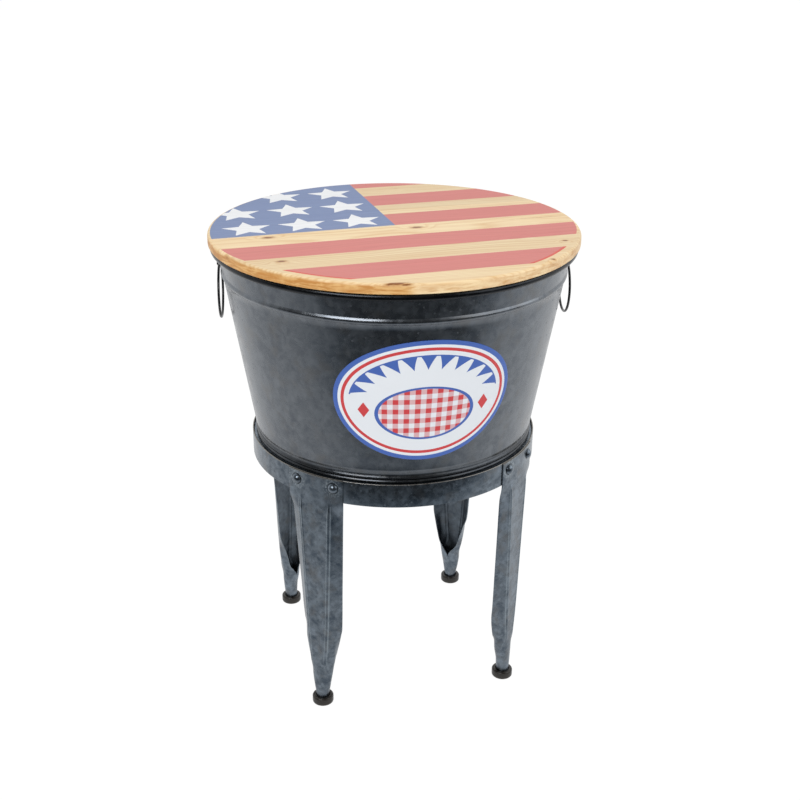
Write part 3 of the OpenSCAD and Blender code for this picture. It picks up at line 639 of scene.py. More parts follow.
def smooth_through(knots, values, at):
    """Curve through values at knots that never overshoots: a cubic between neighbours, whose
    slope at a knot is the harmonic mean of the slopes beside it, or nought where they differ
    in sign. It works on whole arrays, along the first axis."""
    knots, values = np.asarray(knots, float), np.asarray(values, float)
    gap = np.diff(knots).reshape(-1, *[1] * (values.ndim - 1))
    slope = np.diff(values, axis=0) / gap
    before, after = slope[:-1], slope[1:]
    same = before * after > 0
    mean = np.where(same, 2 * before * after / np.where(same, before + after, 1), 0)
    tangent = np.concatenate([slope[:1], mean, slope[-1:]])
    k = np.clip(np.searchsorted(knots, at, "right") - 1, 0, len(knots) - 2)
    h = gap[k]
    t = (np.asarray(at) - knots[k]).reshape(h.shape) / h
    return ((2 * t ** 3 - 3 * t ** 2 + 1) * values[k] + (t ** 3 - 2 * t ** 2 + t) * h * tangent[k]
            + (3 * t ** 2 - 2 * t ** 3) * values[k + 1] + (t ** 3 - t ** 2) * h * tangent[k + 1])


def about_z(points, angle):
    """Points turned round the Z axis by an angle in radians."""
    c, s = math.cos(angle), math.sin(angle)
    return points @ np.array([[c, s, 0], [-s, c, 0], [0, 0, 1]])


def outward_at(points, angle, place, lean=0.0):
    """Carries points whose +Z is a fastener's axis to a place on the stand or tub: +Z turns
    to the outside and leans down by an angle, then all goes round to an angle."""
    c, s = math.cos(lean), math.sin(lean)
    axes = np.array([[-s, 0, -c], [0, 1, 0], [c, 0, -s]])
    return about_z(points @ axes + np.array(place), angle)


def gathered(parts):
    """Several solids as one: their points in a row and their faces numbered on."""
    points, faces, start = [], [], 0
    for p, f in parts:
        points.append(p)
        faces += [[i + start for i in face] for face in f]
        start += len(p)
    return np.concatenate(points), faces


def piece(name, node, solid, material, body, sharp=38.0):
    """Makes one object of a solid in millimetres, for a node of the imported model. Its faces
    are turned round if the volume that they enclose comes out negative, and corners over the
    sharp angle stay crisp."""
    points, faces = solid
    first, second, third = (np.array([face[k] for face in faces]) for k in (0, 1, 2))
    last = np.array([face[-1] for face in faces])
    volume = np.einsum("ij,ij->i", points[first], np.cross(points[second], points[third])).sum()
    other_half = np.einsum("ij,ij->i", points[first], np.cross(points[third], points[last]))
    volume += other_half[[len(face) == 4 for face in faces]].sum()
    if volume < 0:
        faces = [face[::-1] for face in faces]
    mesh = bpy.data.meshes.new(name)
    mesh.from_pydata((points * MM).tolist(), [], faces)
    mesh.validate()
    mesh.polygons.foreach_set("use_smooth", np.ones(len(mesh.polygons), bool))
    mesh.set_sharp_from_angle(angle=math.radians(sharp))
    mesh.materials.append(material)
    obj = bpy.data.objects.new(name, mesh)
    bpy.context.scene.collection.objects.link(obj)
    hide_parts(node)
    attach(obj, body)
    return obj


def mark(obj, name, values):
    """Gives each point of an object a number that its material reads by name."""
    layer = obj.data.attributes.new(name, "FLOAT", "POINT")
    layer.data.foreach_set("value", values.astype(np.float32))


def wall_r(z):
    """Outer radius of the tub's plain wall at a height above its lower edge."""
    return TUB_BASE_R + WALL_SLOPE * z


def board_solid(number, lid):
    """One board of the lid. Its outline runs along the two joints and the circle between
    them. At height z it is drawn in by the round of the lid's edge on the circle, and by the
    arris on the joints; each is r - sqrt(r^2 - d^2) for the depth d into a round of radius r."""
    thick = LID_TOP - LID_Z
    width = 2 * LID_R / BOARDS
    y0, y1 = -LID_R + number * width, -LID_R + (number + 1) * width
    top, low, arris = lid.edge_round / MM, lid.edge_ease / MM, lid.arris / MM
    quarter = np.sin(np.radians(np.linspace(0, 90, 13)))
    z = np.unique(np.round(np.concatenate([
        low * (1 - quarter), arris * (1 - quarter), thick - top + top * quarter,
        thick - arris + arris * quarter]), 6))

    def drawn_in(low_r, top_r):
        d_low, d_top = np.clip(low_r - z, 0, low_r), np.clip(z - thick + top_r, 0, top_r)
        below = low_r - np.sqrt(low_r ** 2 - d_low ** 2)
        return below + (top_r - np.sqrt(top_r ** 2 - d_top ** 2))

    round_in, joint_in = drawn_in(low, top), drawn_in(arris, arris)
    # Both flat faces begin with three rings of points, which keep their shading flat
    extra = np.array([0.4, 1.5, 6.0])
    z = np.concatenate([0 * extra, z, thick + 0 * extra])
    round_in = np.concatenate([round_in[0] + extra[::-1], round_in, round_in[-1] + extra])
    joint_in = np.concatenate([joint_in[0] + extra[::-1], joint_in, joint_in[-1] + extra])
    radius = (LID_R - round_in)[:, None]
    t = np.linspace(0, 1, 97)[None, :]
    joint_t = np.linspace(0, 1, 33)[None, 1:-1]
    has_low, has_high = number > 0, number < BOARDS - 1
    low_a = np.arcsin(np.clip((y0 + joint_in)[:, None] / radius, -1, 1))
    high_a = np.arcsin(np.clip((y1 - joint_in)[:, None] / radius, -1, 1))

    def on_circle(start, end):
        a = start + (end - start) * t
        return np.stack([radius * np.cos(a), radius * np.sin(a)], -1)

    def straight(first, last):
        return first[:, None] + (last - first)[:, None] * joint_t[..., None]

    if has_low and has_high:
        arcs = [on_circle(low_a, high_a), on_circle(math.pi - high_a, math.pi - low_a)]
    elif has_high:
        arcs = [on_circle(-math.pi - high_a, high_a)]
    else:
        arcs = [on_circle(low_a, math.pi - low_a)]
    # Each arc is followed by the joint that leads on to the next one, or back to the first
    flat = np.concatenate([side for this, after in zip(arcs, arcs[1:] + arcs[:1])
                           for side in (this, straight(this[:, -1], after[:, 0]))], 1)
    level = np.broadcast_to((z + LID_Z)[:, None, None], (*flat.shape[:2], 1))
    points, faces = stacked(np.concatenate([flat, level], -1))
    return about_z(points, LID_TURN), faces


class COOLER_OT_lid_boards(bpy.types.Operator):
    """Make the six boards of the round lid"""

    bl_idname = "cooler.lid_boards"
    bl_label = "Lid boards"

    def execute(self, context):
        lid = context.scene.cooler_lid
        wood = printed_pine(lid)
        for number in range(BOARDS):
            piece(f"board_{number + 1}", f"lid_board_{number + 1}", board_solid(number, lid), wood,
                  "lid")
        return {"FINISHED"}


def batten_solid(x):
    """A batten: a rounded rectangle carried down from the boards, drawn in by a round of 2 mm
    at its lower edge."""
    a = np.radians(np.linspace(0, 90, 7))
    depth = np.concatenate([[0.0], BATTEN_T - 2 + 2 * np.sin(a), [BATTEN_T] * 2])
    inset = np.concatenate([[0.0], 2 - 2 * np.cos(a), [2.5, 6.0]])
    px, py = rectangles(BATTEN_W / 2, BATTEN_L / 2, 3.0, 0.2, inset, 64)
    pz = np.broadcast_to((LID_Z - 0.02 - depth)[:, None], px.shape)
    points, faces = stacked(np.stack([x + px, py, pz], -1))
    return about_z(points, LID_TURN), faces


def screw_head():
    """A countersunk screw, seen from its head at z = 0 with its shank towards +z: rings out
    over the head, with a cross recess 1.5 mm deep where |x| < 0.55 or |y| < 0.55 within 2.1 mm."""
    r = np.concatenate([np.linspace(0.05, 3.6, 30), [3.9, 4.0]])[:, None]
    a = angles_round(72)[None, :]
    x, y = r * np.cos(a), r * np.sin(a)
    side, along = np.abs(x), np.abs(y)
    arm = np.minimum(np.maximum(side - 0.55, along - 2.1), np.maximum(along - 0.55, side - 2.1))
    depth = 1.5 * np.clip(0.5 - arm / 0.3, 0, 1) + np.where(r > 3.95, 0.12, 0)
    head = np.stack([x, y, depth], -1)
    rest = np.array([[4.0, 0.25], [2.0, 2.2], [2.0, 26.0]])
    cone = np.stack([rest[:, :1] * np.cos(a), rest[:, :1] * np.sin(a), rest[:, 1:] + 0 * a], -1)
    return stacked(np.concatenate([head, cone]))


def screw_places():
    """Places of the batten screws: each board's overlap with a batten, at its middle."""
    width = 2 * LID_R / BOARDS
    y0 = -LID_R + width * np.arange(BOARDS)
    y = (np.maximum(y0, -BATTEN_L / 2) + np.minimum(y0 + width, BATTEN_L / 2)) / 2
    return [(x, float(v)) for x in (-BATTEN_X, BATTEN_X) for v in y]


class COOLER_OT_battens(bpy.types.Operator):
    """Make the two battens under the lid and their screws"""

    bl_idname = "cooler.battens"
    bl_label = "Battens and screws"

    def execute(self, context):
        wood = planed_pine(context.scene.cooler_lid)
        for side, x in (("left", -BATTEN_X), ("right", BATTEN_X)):
            piece(f"batten_{side}", f"lid_batten_{side}", batten_solid(x), wood,
                  "lid")
        points, faces = screw_head()
        screws = [(about_z(points + [x, y, LID_Z - BATTEN_T - 0.05], LID_TURN), faces)
                  for x, y in screw_places()]
        piece("screws", "batten_screws", gathered(screws), zinc_plate(), "lid")
        return {"FINISHED"}


def ridge(z0, z1, proud, r0, r1, steps=28):
    """A rolled or swaged ridge in section: half a sine wave on the straight from (r0, z0) to
    (r1, z1)."""
    k = np.linspace(0, 1, steps)
    return np.stack([r0 + (r1 - r0) * k + proud * np.sin(math.pi * k), z0 + (z1 - z0) * k], -1)


def wall_outline(tub):
    """Section of the tub's wall: up the inside, round the rolled rim from 180 to -130 degrees,
    back by its inner side, and down the outside over the bead, the neck and the seam's rolls."""
    k = np.linspace(0, 1, 16)
    neck_r = SEAM_R + (wall_r(NECK_Z) - SEAM_R) * (1 - np.cos(math.pi * k)) / 2
    neck = np.stack([neck_r, SEAM_H + (NECK_Z - SEAM_H) * k], -1)
    bead_low, bead_top = BEAD_Z - BEAD_HALF, BEAD_Z + BEAD_HALF
    plain_z = np.linspace(NECK_Z, bead_low, 26)[1:-1]
    plain = np.stack([wall_r(plain_z), plain_z], -1)
    bead = ridge(bead_low, bead_top, tub.bead_proud / MM, wall_r(bead_low), wall_r(bead_top))
    collar_z = np.linspace(bead_top, ROLL_MID_Z - TUB_Z, 8)[1:-1]
    collar = np.stack([wall_r(collar_z), collar_z], -1)
    line = np.concatenate([neck, plain, bead, collar])
    roll = (ROLL_MID_R, ROLL_MID_Z - TUB_Z)
    seam = tub.seam_proud / MM
    outline = np.concatenate([
        [[SEAM_R - SHEET, 0.0]], line - [SHEET, 0],
        arc(roll, ROLL_R, 180, -130, 56), arc(roll, ROLL_R - SHEET, -130, 180, 56),
        line[::-1],
        ridge(SEAM_H - 1, SEAM_H / 2, seam, SEAM_R, SEAM_R, 14),
        ridge(SEAM_H / 2 - 0.5, 1.0, seam * 0.7, SEAM_R, SEAM_R, 14),
        [[SEAM_R, 0.0]],
    ])
    return outline + [0, TUB_Z]


def label_solid():
    """The oval label on the cone of the wall, with each point's place on the flat sheet and its
    distance in from the oval's edge. Ring k of points is the ellipse (s, h) = k (half width
    cos a, half height sin a), where s becomes the angle s / (the wall's radius at the middle),
    and each point stands off the wall's radius for its height. Rings run out over the front,
    round the rim and back."""
    a = angles_round(160)[None, :]
    mid_r = wall_r(LABEL_Z)
    grow = np.linspace(0.01, 1, 44)[:-1]
    k = np.concatenate([grow, [0.997, 1.0, 1.0], grow[::-1]])[:, None]
    proud = np.concatenate([0.6 + 0 * grow, [0.6, 0.5, 0.12], 0.1 + 0 * grow])[:, None]
    s, h = k * LABEL_HALF_W * np.cos(a), LABEL_Z + k * LABEL_HALF_H * np.sin(a)
    x = (wall_r(h) + proud) * np.sin(s / mid_r)
    y = -(wall_r(h) + proud) * np.cos(s / mid_r)
    points, faces = stacked(np.stack([x, y, h + TUB_Z], -1))
    # Distance in from the edge, to first order: 1 - k over the slope of k
    slope = np.sqrt((np.cos(a) / LABEL_HALF_W) ** 2 + (np.sin(a) / LABEL_HALF_H) ** 2)
    inward = (1 - k) / slope
    flat = np.stack([s, h - LABEL_Z], -1)
    return (about_z(points, LABEL_TURN), faces), flat.reshape(-1, 2), inward.ravel()


class COOLER_OT_tub(bpy.types.Operator):
    """Make the tub: wall with its rolled rim, bottom and the wire in the rim"""

    bl_idname = "cooler.tub"
    bl_label = "Tub"

    def execute(self, context):
        tub = context.scene.cooler_tub
        rim_low, seam_top = TUB_TOP - 2 * ROLL_R, TUB_Z + SEAM_H
        # Painted shade: the rolled rim in the lid's shadow and the seam in the gap over the hoop
        # darken nearly to black
        shaded_bands = ((rim_low - 0.3, rim_low + 0.5, 0.88), (seam_top + 2, seam_top - 1, 0.6))
        sheet = dark_galvanised("dark_galvanised_tub", tub, 17.0, shaded_bands)
        piece("wall", "tub_wall", turned(wall_outline(tub), 288), sheet, "tub")
        disc = SEAM_R - SHEET - 0.1
        floor = rounded([(0.4, 6, 0), (disc - 1, 6, 0.6), (disc - 1, 0.5, 0.2), (disc, 0.5, 0.2),
                         (disc, 7, 1.4), (0.4, 7, 0)])
        piece("bottom", "tub_bottom", turned(floor + [0, TUB_Z], 144), sheet, "tub")
        wire = arc((ROLL_MID_R, ROLL_MID_Z), ROLL_R - SHEET - 0.1, 0, 345, 24)
        piece("wire", "rim_wire", turned(wire, 144), zinc_plate(), "tub")
        return {"FINISHED"}


class COOLER_OT_label(bpy.types.Operator):
    """Make the oval label on the tub's front"""

    bl_idname = "cooler.label"
    bl_label = "Label"

    def execute(self, context):
        solid, flat, inward = label_solid()
        label = piece("label", "label_plate", solid, printed_tin(context.scene.cooler_tub), "tub")
        mesh = label.data
        corner = np.empty(len(mesh.loops), np.int32)
        mesh.loops.foreach_get("vertex_index", corner)
        layer = mesh.uv_layers.new(name="sheet")
        layer.data.foreach_set("uv", (flat / LABEL_SPAN + 0.5)[corner].astype(np.float32).ravel())
        mark(label, "inward", inward)
        return {"FINISHED"}


def ear_solid(angle):
    """A handle's ear: a rounded plate bent to the wall's cone, and a rolled loop whose axis is
    the handle's hinge line. The loop is a tube with rounded ends, pressed flat on the wall."""
    t = np.radians(np.linspace(0, 90, 6))
    face = EAR_T + 0.1
    proud = np.concatenate([[0.12, 0.12], face - 0.6 + 0.6 * np.sin(t), [face] * 3])[:, None]
    inset = np.concatenate([[4.0, 0.0], 0.6 - 0.6 * np.cos(t), [1.2, 3.0, 6.0]])
    across, up = rectangles(EAR_W / 2, (EAR_HIGH - EAR_LOW) / 2, 5.0, 0.3, inset, 72)
    up = up + (EAR_LOW + EAR_HIGH) / 2
    out = np.sqrt((wall_r(up) + proud) ** 2 - across ** 2)
    plate = stacked(np.stack([out, across, up + TUB_Z], -1))
    points, faces = turned(bar(LOOP_BORE, LOOP_BORE + 1.2, -5, 5, 0.4, 0.4), 40)
    up = points[:, 1] + HINGE_Z
    on_wall = np.sqrt((wall_r(up) + 0.12) ** 2 - points[:, 2] ** 2)
    loop = np.stack([np.maximum(points[:, 0] + HINGE_R, on_wall), points[:, 2], up + TUB_Z], -1)
    points, faces = gathered([plate, (loop, [face[::-1] for face in faces])])
    return about_z(points, angle), faces


def dome(width, height):
    """Section of a domed head on z = 0: an arc of the ball through its edge and its top."""
    ball = (width ** 2 / 4 + height ** 2) / (2 * height)
    edge = math.degrees(math.asin(min(1.0, width / 2 / ball)))
    cap = arc((0, height - ball), ball, 90 - edge, 89.6, 14)
    return np.concatenate([[[0.02, 0.0], [width / 2 - 0.2, 0.0]], cap])


def ring_solid(angle):
    """A handle: a wire ring that hangs from the hinge line at the top of its wire. The wire's
    middle is (r cos a, r sin a) and its skin stands the wire's radius off it."""
    a, b = angles_round(160)[:, None], angles_round(20)[None, :]
    skin_r = RING_R + RING_WIRE * np.cos(b)
    points = np.stack([HINGE_R + RING_WIRE * np.sin(b) + 0 * a, skin_r * np.cos(a),
                       TUB_Z + HINGE_Z - RING_R + skin_r * np.sin(a)], -1)
    return about_z(points.reshape(-1, 3), angle), grid_faces(160, 20, closed_rows=True)


class COOLER_OT_handles(bpy.types.Operator):
    """Make the ring handles, their ears and the rivets"""

    bl_idname = "cooler.handles"
    bl_label = "Handles"

    def execute(self, context):
        enamel = black_enamel(context.scene.cooler_stand.handle)
        rivet_z = (EAR_LOW + EAR_HIGH) / 2 + 1
        swing = math.asin(11 / wall_r(rivet_z))
        lean = math.atan(WALL_SLOPE)
        points, faces = turned(dome(7, 2.2) + [0, EAR_T + 0.1], 32)
        rivets = []
        for side, turn in (("left", math.pi), ("right", 0.0)):
            angle = turn + HANDLE_TURN
            piece(f"ear_{side}", f"handle_ear_{side}", ear_solid(angle), enamel,
                  "tub")
            piece(f"ring_{side}", f"handle_ring_{side}", ring_solid(angle), enamel,
                  f"handle_{side}")
            place = (wall_r(rivet_z), 0, TUB_Z + rivet_z)
            rivets += [(outward_at(points, angle + k * swing, place, lean), faces) for k in (-1, 1)]
        piece("rivets", "ear_rivets", gathered(rivets), enamel, "tub")
        return {"FINISHED"}


class COOLER_OT_hoop(bpy.types.Operator):
    """Make the stand's hoop and the ledge that carries the tub"""

    bl_idname = "cooler.hoop"
    bl_label = "Hoop and ledge"

    def execute(self, context):
        steel = stand_steel(context)
        inner = HOOP_R - HOOP_T
        band = bar(inner, HOOP_R, HOOP_BASE, HOOP_TOP, 0.4, 0.95)
        piece("hoop", "stand_hoop", turned(band, 288), steel, "stand")
        ledge_r, low, top = LEDGE_HIGH[0], LEDGE_LOW[2], LEDGE_HIGH[2]
        shelf = bar(ledge_r - 18, ledge_r, low, top, 0.5, 0.5)
        piece("ledge", "stand_ledge", turned(shelf, 192), steel, "stand")
        return {"FINISHED"}


def leg_solid(angle):
    """A pressed leg. Half a section is a curve from the middle of the face over a fold to the
    flange's free edge: a channel in the leg's long part, an arc of the hoop's plate on top and
    a closed oval tube below. Sections blend smoothly with height, and the inner skin lies one
    sheet thickness inside the outer one. Marks say how far each point lies on a fold or
    inside."""
    s = np.unique(np.round(np.concatenate([np.linspace(0, 5, 31), np.linspace(1.7, 3.3, 41)]), 4))
    knots = np.arange(6)
    foot_z, splay = 5.1, 2.5

    def face_v(z):
        return PLATE_R + 0.5 - splay + splay * (z - foot_z) / (HOOP_BASE - foot_z)

    def bent(z, face_w, mid, edge):
        v = face_v(z)
        u = [0, face_w / 2, face_w - 3, face_w + 1, mid[0], edge[0]]
        drop = [0, 0, 0, 1.5, mid[1], edge[1]]
        return smooth_through(knots, np.stack([u, v - np.array(drop)], -1), s)

    def channel(z, face_w, edge_w, depth):
        return bent(z, face_w, ((face_w + 1 + edge_w) / 2, (1.5 + depth) / 2), (edge_w, depth))

    def oval(z, half_w, depth):
        a = np.radians(np.interp(s, knots, [0, 22, 42, 66, 116, 177]))
        return np.stack([half_w * np.sin(a), face_v(z) - depth / 2 + depth / 2 * np.cos(a)], -1)

    def plate():
        u = smooth_through(knots, [0, 12.5, 22, 26, 34.2, 42.5], s)
        return np.stack([u, np.sqrt(PLATE_R ** 2 - u ** 2)], -1)

    kink = channel(130, 16, 31, 15.3)
    bend_z = HOOP_BASE - 26
    bend = channel(bend_z, 24, 39.5, 9)
    rows = [(foot_z, oval(foot_z, 9.5, 19)), (13, oval(13, 9.5, 19)), (29.8, oval(29.8, 12.4, 19)),
            (51.0, oval(51, 15.4, 22.2)), (75.3, bent(75.3, 11.8, (19.8, 11.8), (16.2, 20.6))),
            (92.5, bent(92.5, 13.4, (21.8, 9.4), (21, 20.3))),
            (109.8, bent(109.8, 14.7, (23.6, 8.0), (25.8, 18.8))), (130.0, kink),
            (189.2, kink + (bend - kink) * 0.33), (250.3, kink + (bend - kink) * 0.67),
            (bend_z, bend), (HOOP_BASE - 1.5, plate()), (HOOP_BASE + 6, plate()),
            (HOOP_TOP - 0.1, plate())]
    heights = np.array([r[0] for r in rows])
    z = np.unique(np.concatenate([np.linspace(foot_z, bend_z, 84), np.linspace(46, 96, 41),
                                  np.linspace(bend_z, HOOP_BASE + 6, 24),
                                  np.linspace(HOOP_BASE + 6, HOOP_TOP - 0.1, 6)]))
    half = smooth_through(heights, np.array([r[1] for r in rows]), z)
    outer = np.concatenate([half[:, :0:-1] * [-1, 1], half], 1)
    step = np.gradient(outer, axis=1)
    step /= np.linalg.norm(step, axis=-1, keepdims=True)
    inward = np.stack([step[..., 1], -step[..., 0]], -1)
    # Both corners of the fold are pressed up into a low crease, which fades at top and foot
    across = np.concatenate([s[:0:-1], s])
    crease = np.exp(-((across - 2) / 0.13) ** 2) + np.exp(-((across - 3) / 0.13) ** 2)
    fade = np.clip((HOOP_BASE - 6 - z) / 14, 0, 1) * np.clip((z - 45) / 60, 0, 1)
    crease = fade[:, None] * crease[None, :]
    outer = outer - inward * 0.6 * crease[..., None]
    inner = outer + inward * LEG_T
    lip = LEG_T * 0.42
    first = (outer[:, :1] + inner[:, :1]) / 2 - step[:, :1] * lip
    last = (outer[:, -1:] + inner[:, -1:]) / 2 + step[:, -1:] * lip
    loop = np.concatenate([outer, last, inner[:, ::-1], first], 1)
    u, v = loop[..., 0], loop[..., 1]
    points, faces = stacked(np.stack([u, v, np.broadcast_to(z[:, None], u.shape)], -1))
    one, none = np.ones_like(first[..., 0]), np.zeros_like(crease)
    fold = np.concatenate([crease, 0.7 * one, none, 0.7 * one], 1)
    hollow = np.concatenate([none, 0 * one, none + 1, 0 * one], 1)
    marks = {"fold": fold.ravel(), "hollow": hollow.ravel()}
    return (about_z(points, angle - math.pi / 2), faces), marks


def stand_steel(context):
    """The stand's darkened zinc, made once."""
    name, stand = "dark_galvanised_stand", context.scene.cooler_stand
    found = bpy.data.materials.get(name)
    return found or dark_galvanised(name, stand, 12.0, bare=stand.worn_edge)


class COOLER_OT_legs(bpy.types.Operator):
    """Make the four pressed legs"""

    bl_idname = "cooler.legs"
    bl_label = "Legs"

    def execute(self, context):
        steel = stand_steel(context)
        for place, angle in zip(LEG_NAMES, LEG_ANGLES):
            solid, marks = leg_solid(angle)
            leg = piece(f"{place}_leg", f"leg_{place}", solid, steel, "stand", 50)
            for name, values in marks.items():
                mark(leg, name, values)
        return {"FINISHED"}


def nut():
    """A hexagon nut from z = 0 to 5: its side stands at half its width over the cosine of the
    angle from the nearest flat, and its upper and lower corners are cut back by a cone."""
    a = angles_round(96)
    flat = (a + math.pi / 6) % (math.pi / 3) - math.pi / 6
    side = 5.0 / np.cos(flat)
    cut = np.maximum(side - 5.15, 0) * 0.6
    face = np.minimum(side, 5.1)
    rows = [(3.1, 0.3), (3.5, 0), (face, 0), (side, cut + 0.05), (side, 4.95 - cut), (face, 5),
            (3.5, 5), (3.1, 4.7)]
    points = [np.stack([r * np.cos(a), r * np.sin(a), z + 0 * a], -1) for r, z in rows]
    return np.concatenate(points), grid_faces(len(rows), 96, closed_rows=True)


class COOLER_OT_leg_fasteners(bpy.types.Operator):
    """Make the domed bolts that hold the legs, and their nuts"""

    bl_idname = "cooler.leg_fasteners"
    bl_label = "Bolts and nuts"

    def execute(self, context):
        swing = math.asin(BOLT_SIDE / PLATE_R)
        head = turned(dome(14.5, 5.0), 48)
        shank = rounded([(0.02, -9.5, 0), (3, -9.5, 0.6), (3, 0, 0), (0.02, 0, 0)])
        places = [angle + k * swing for angle in LEG_ANGLES for k in (-1, 1)]
        bolts = [(outward_at(points, place, (PLATE_R, 0, BOLT_Z)), faces)
                 for place in places for points, faces in (head, turned(shank, 32))]
        points, faces = nut()
        nuts = [(outward_at(points, place, (HOOP_R - HOOP_T - 5.1, 0, BOLT_Z)), faces)
                for place in places]
        piece("bolts", "leg_bolts", gathered(bolts), stand_steel(context), "stand")
        piece("nuts", "leg_nuts", gathered(nuts), zinc_plate(), "stand")
        return {"FINISHED"}


class COOLER_OT_feet(bpy.types.Operator):
    """Make the four foot caps"""

    bl_idname = "cooler.feet"
    bl_label = "Foot caps"

    def execute(self, context):
        nylon = moulded_nylon(context.scene.cooler_stand.foot)
        section = rounded([(0.02, 0, 0), (15, 0, 2.5), (15, 12, 2.5), (10, 12, 0.5), (10, 5, 0.3),
                           (0.02, 5, 0)], 9)
        points, faces = turned(section, 64)
        for place, angle in zip(LEG_NAMES, LEG_ANGLES):
            cap = about_z(points + [FOOT_R, 0, 0], angle), faces
            piece(f"{place}_foot", f"foot_{place}", cap, nylon, "stand")
        return {"FINISHED"}


def soft_box(name, place, target, size, watts):
    """A rectangular lamp that looks at a point."""
    lamp = bpy.data.lights.new(name, "AREA")
    lamp.shape = "RECTANGLE"
    lamp.size, lamp.size_y = size
    lamp.energy = watts
    obj = bpy.data.objects.new(name, lamp)
    obj.location = place
    obj.rotation_euler = (Vector(target) - Vector(place)).to_track_quat("-Z", "Y").to_euler()
    bpy.context.scene.collection.objects.link(obj)


def seen_plain(node):
    """1 for a ray of the camera, a reflection or a clear body, and 0 for light on dull ones."""
    path = node("LightPath", out="all")
    rays = node("Math:MAXIMUM", path["Is Camera Ray"], path["Is Glossy Ray"])
    return node("Math:MAXIMUM", rays, path["Is Transmission Ray"])


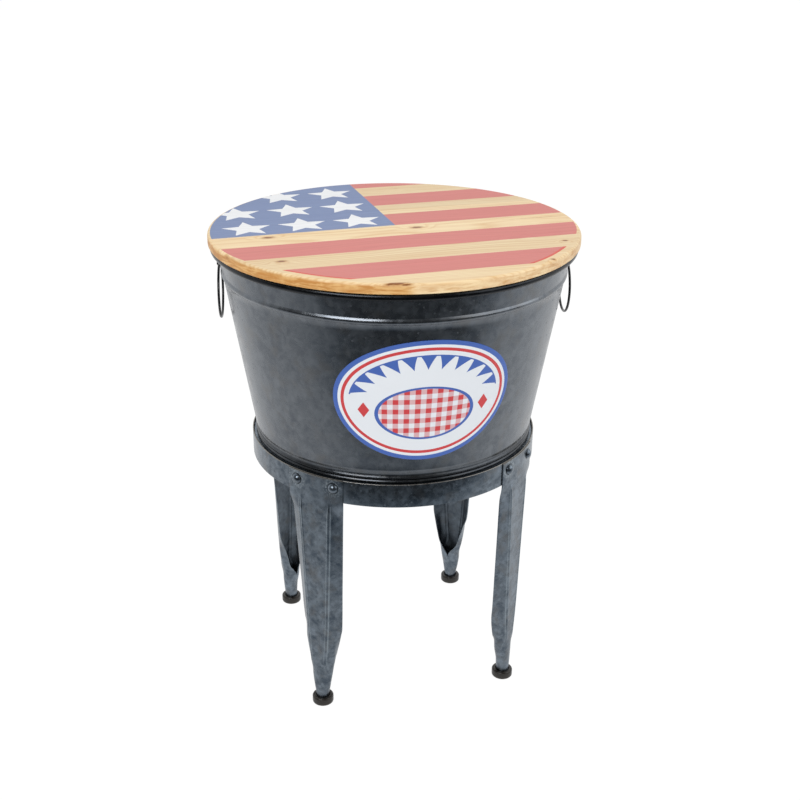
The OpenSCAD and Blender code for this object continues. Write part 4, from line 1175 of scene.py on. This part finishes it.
class COOLER_OT_studio(bpy.types.Operator):
    """Make the white studio: floor, sky, soft boxes and camera"""

    bl_idname = "cooler.studio"
    bl_label = "Studio"

    def execute(self, context):
        scene = context.scene
        studio = scene.cooler_studio
        world = bpy.data.worlds.new("white_studio")
        scene.world = world
        world.use_nodes = True
        node = partial(add, world.node_tree)
        # In the metal the room in front of the set and over it is dark, like its ceiling
        toward = node("TexCoord", out="Generated")
        behind = node("VectorMath:DOT_PRODUCT", toward, (0.2, 1.0, 0.0))
        behind = node("MapRange:SMOOTHSTEP", behind, -0.35, 0.35, 0.12, 1.0)
        path = node("LightPath", out="all")
        clear = node("Math:MAXIMUM", path["Is Camera Ray"], path["Is Transmission Ray"])
        behind = node("Math:MAXIMUM", behind, clear)
        level = node("Mix", seen_plain(node), studio.level, behind)
        background = world.node_tree.nodes["Background"].inputs
        join(background["Strength"], level)
        join(background["Color"], (1.0, 1.0, 1.0))

        # White paper. To the camera all of it is white. In the metal its light falls away
        # beyond the set's front left edge, y + 0.15 x = -0.6 m, as the room there is dark.
        far = 14.0
        mesh = bpy.data.meshes.new("white_floor")
        corners = ((-far, -far), (far, -far), (far, far), (-far, far))
        mesh.from_pydata([(x, y, -0.1 * MM) for x, y in corners], [], [(0, 1, 2, 3)])
        floor = bpy.data.objects.new("white_floor", mesh)
        scene.collection.objects.link(floor)
        paper, node, mm = finish_of("white_paper")
        coat(paper, Base_Color=(0.95,) * 3, Roughness=1.0, Specular_IOR_Level=0.0)
        across = node("VectorMath:DOT_PRODUCT", mm, (0.15, 1.0, 0.0))
        lit = node("MapRange:SMOOTHSTEP", across, -840.0, -360.0, 0.045, 1.0)
        strong = node("VectorMath:DOT_PRODUCT", mm, (0.00014, 0.00028, 0.0))
        strong = node("Math:ADD", strong, 0.86, use_clamp=True)
        mirrored = node("Math:MULTIPLY", lit, strong)
        camera_ray = node("LightPath", out="Is Camera Ray")
        white = (1.0, 1.0, 1.0)
        bluish = node("Mix:RGBA", lit, (0.6, 0.8, 1.0), white)
        bluish = node("Mix:RGBA", camera_ray, bluish, white)
        glow = node("Math:MAXIMUM", mirrored, node("Math:MULTIPLY", camera_ray, 1.04))
        glow = node("Emission", Color=bluish, Strength=glow)
        seen = node("Math:MULTIPLY", seen_plain(node), 0.93)
        dull, result = (paper.node_tree.nodes[n] for n in ("Principled BSDF", "Material Output"))
        join(result.inputs["Surface"], node("MixShader", seen, dull.outputs[0], glow))
        mesh.materials.append(paper)

        middle = (0.0, 0.0, 0.42)
        for name, place, size, watts in (("key_left", (-1.4, -1.6, 1.65), (1.3, 0.9), 24.0),
                                         ("fill_right", (1.7, -1.1, 1.4), (2.2, 1.6), 17.0),
                                         ("top_back", (0.2, 1.3, 2.2), (1.4, 0.8), 5.0)):
            soft_box(name, place, middle, size, watts)

        view = bpy.data.cameras.new("camera")
        view.sensor_width = 36.0
        view.lens = studio.lens
        view.shift_x = studio.shift
        view.clip_start, view.clip_end = 0.05, 50.0
        camera = bpy.data.objects.new("camera", view)
        scene.collection.objects.link(camera)
        # Place and direction of view, fitted to the object's outline
        place = Vector((-0.388744, -1.537083, 1.092475))
        back = -Vector((0.211512, 0.891813, -0.399915)).normalized()
        right = Vector((0, 0, 1)).cross(back).normalized()
        up = back.cross(right)
        axes = Matrix((right, up, back)).transposed().to_4x4()
        camera.matrix_world = Matrix.Translation(place) @ axes
        scene.camera = camera
        scene.view_settings.view_transform = "Standard"
        return {"FINISHED"}


class COOLER_PT_panel(bpy.types.Panel):
    """Lists the cooler's pieces and their settings"""

    bl_idname = "COOLER_PT_panel"
    bl_label = "Patio cooler"
    bl_space_type = "VIEW_3D"
    bl_region_type = "UI"
    bl_category = "Cooler"

    def draw(self, context):
        for group in SETTINGS:
            column = self.layout.column(align=True)
            settings = getattr(context.scene, group)
            for name in settings.__annotations__:
                column.prop(settings, name)
        for step in STEPS:
            self.layout.operator(step.bl_idname)


SETTINGS = {
    "cooler_lid": LidSettings,
    "cooler_tub": TubSettings,
    "cooler_stand": StandSettings,
    "cooler_studio": StudioSettings,
}
STEPS = (
    COOLER_OT_lid_boards, COOLER_OT_battens, COOLER_OT_tub, COOLER_OT_label, COOLER_OT_handles,
    COOLER_OT_hoop, COOLER_OT_legs, COOLER_OT_leg_fasteners, COOLER_OT_feet, COOLER_OT_studio,
)
CLASSES = (*SETTINGS.values(), *STEPS, COOLER_PT_panel)


def register():
    for cls in CLASSES:
        bpy.utils.register_class(cls)
    for name, group in SETTINGS.items():
        setattr(bpy.types.Scene, name, bpy.props.PointerProperty(type=group))


def unregister():
    for name in SETTINGS:
        delattr(bpy.types.Scene, name)
    for cls in reversed(CLASSES):
        bpy.utils.unregister_class(cls)


def main():
    register()
    for step in STEPS:
        group, name = step.bl_idname.split(".")
        getattr(getattr(bpy.ops, group), name)()


if __name__ == "__main__":
    main()
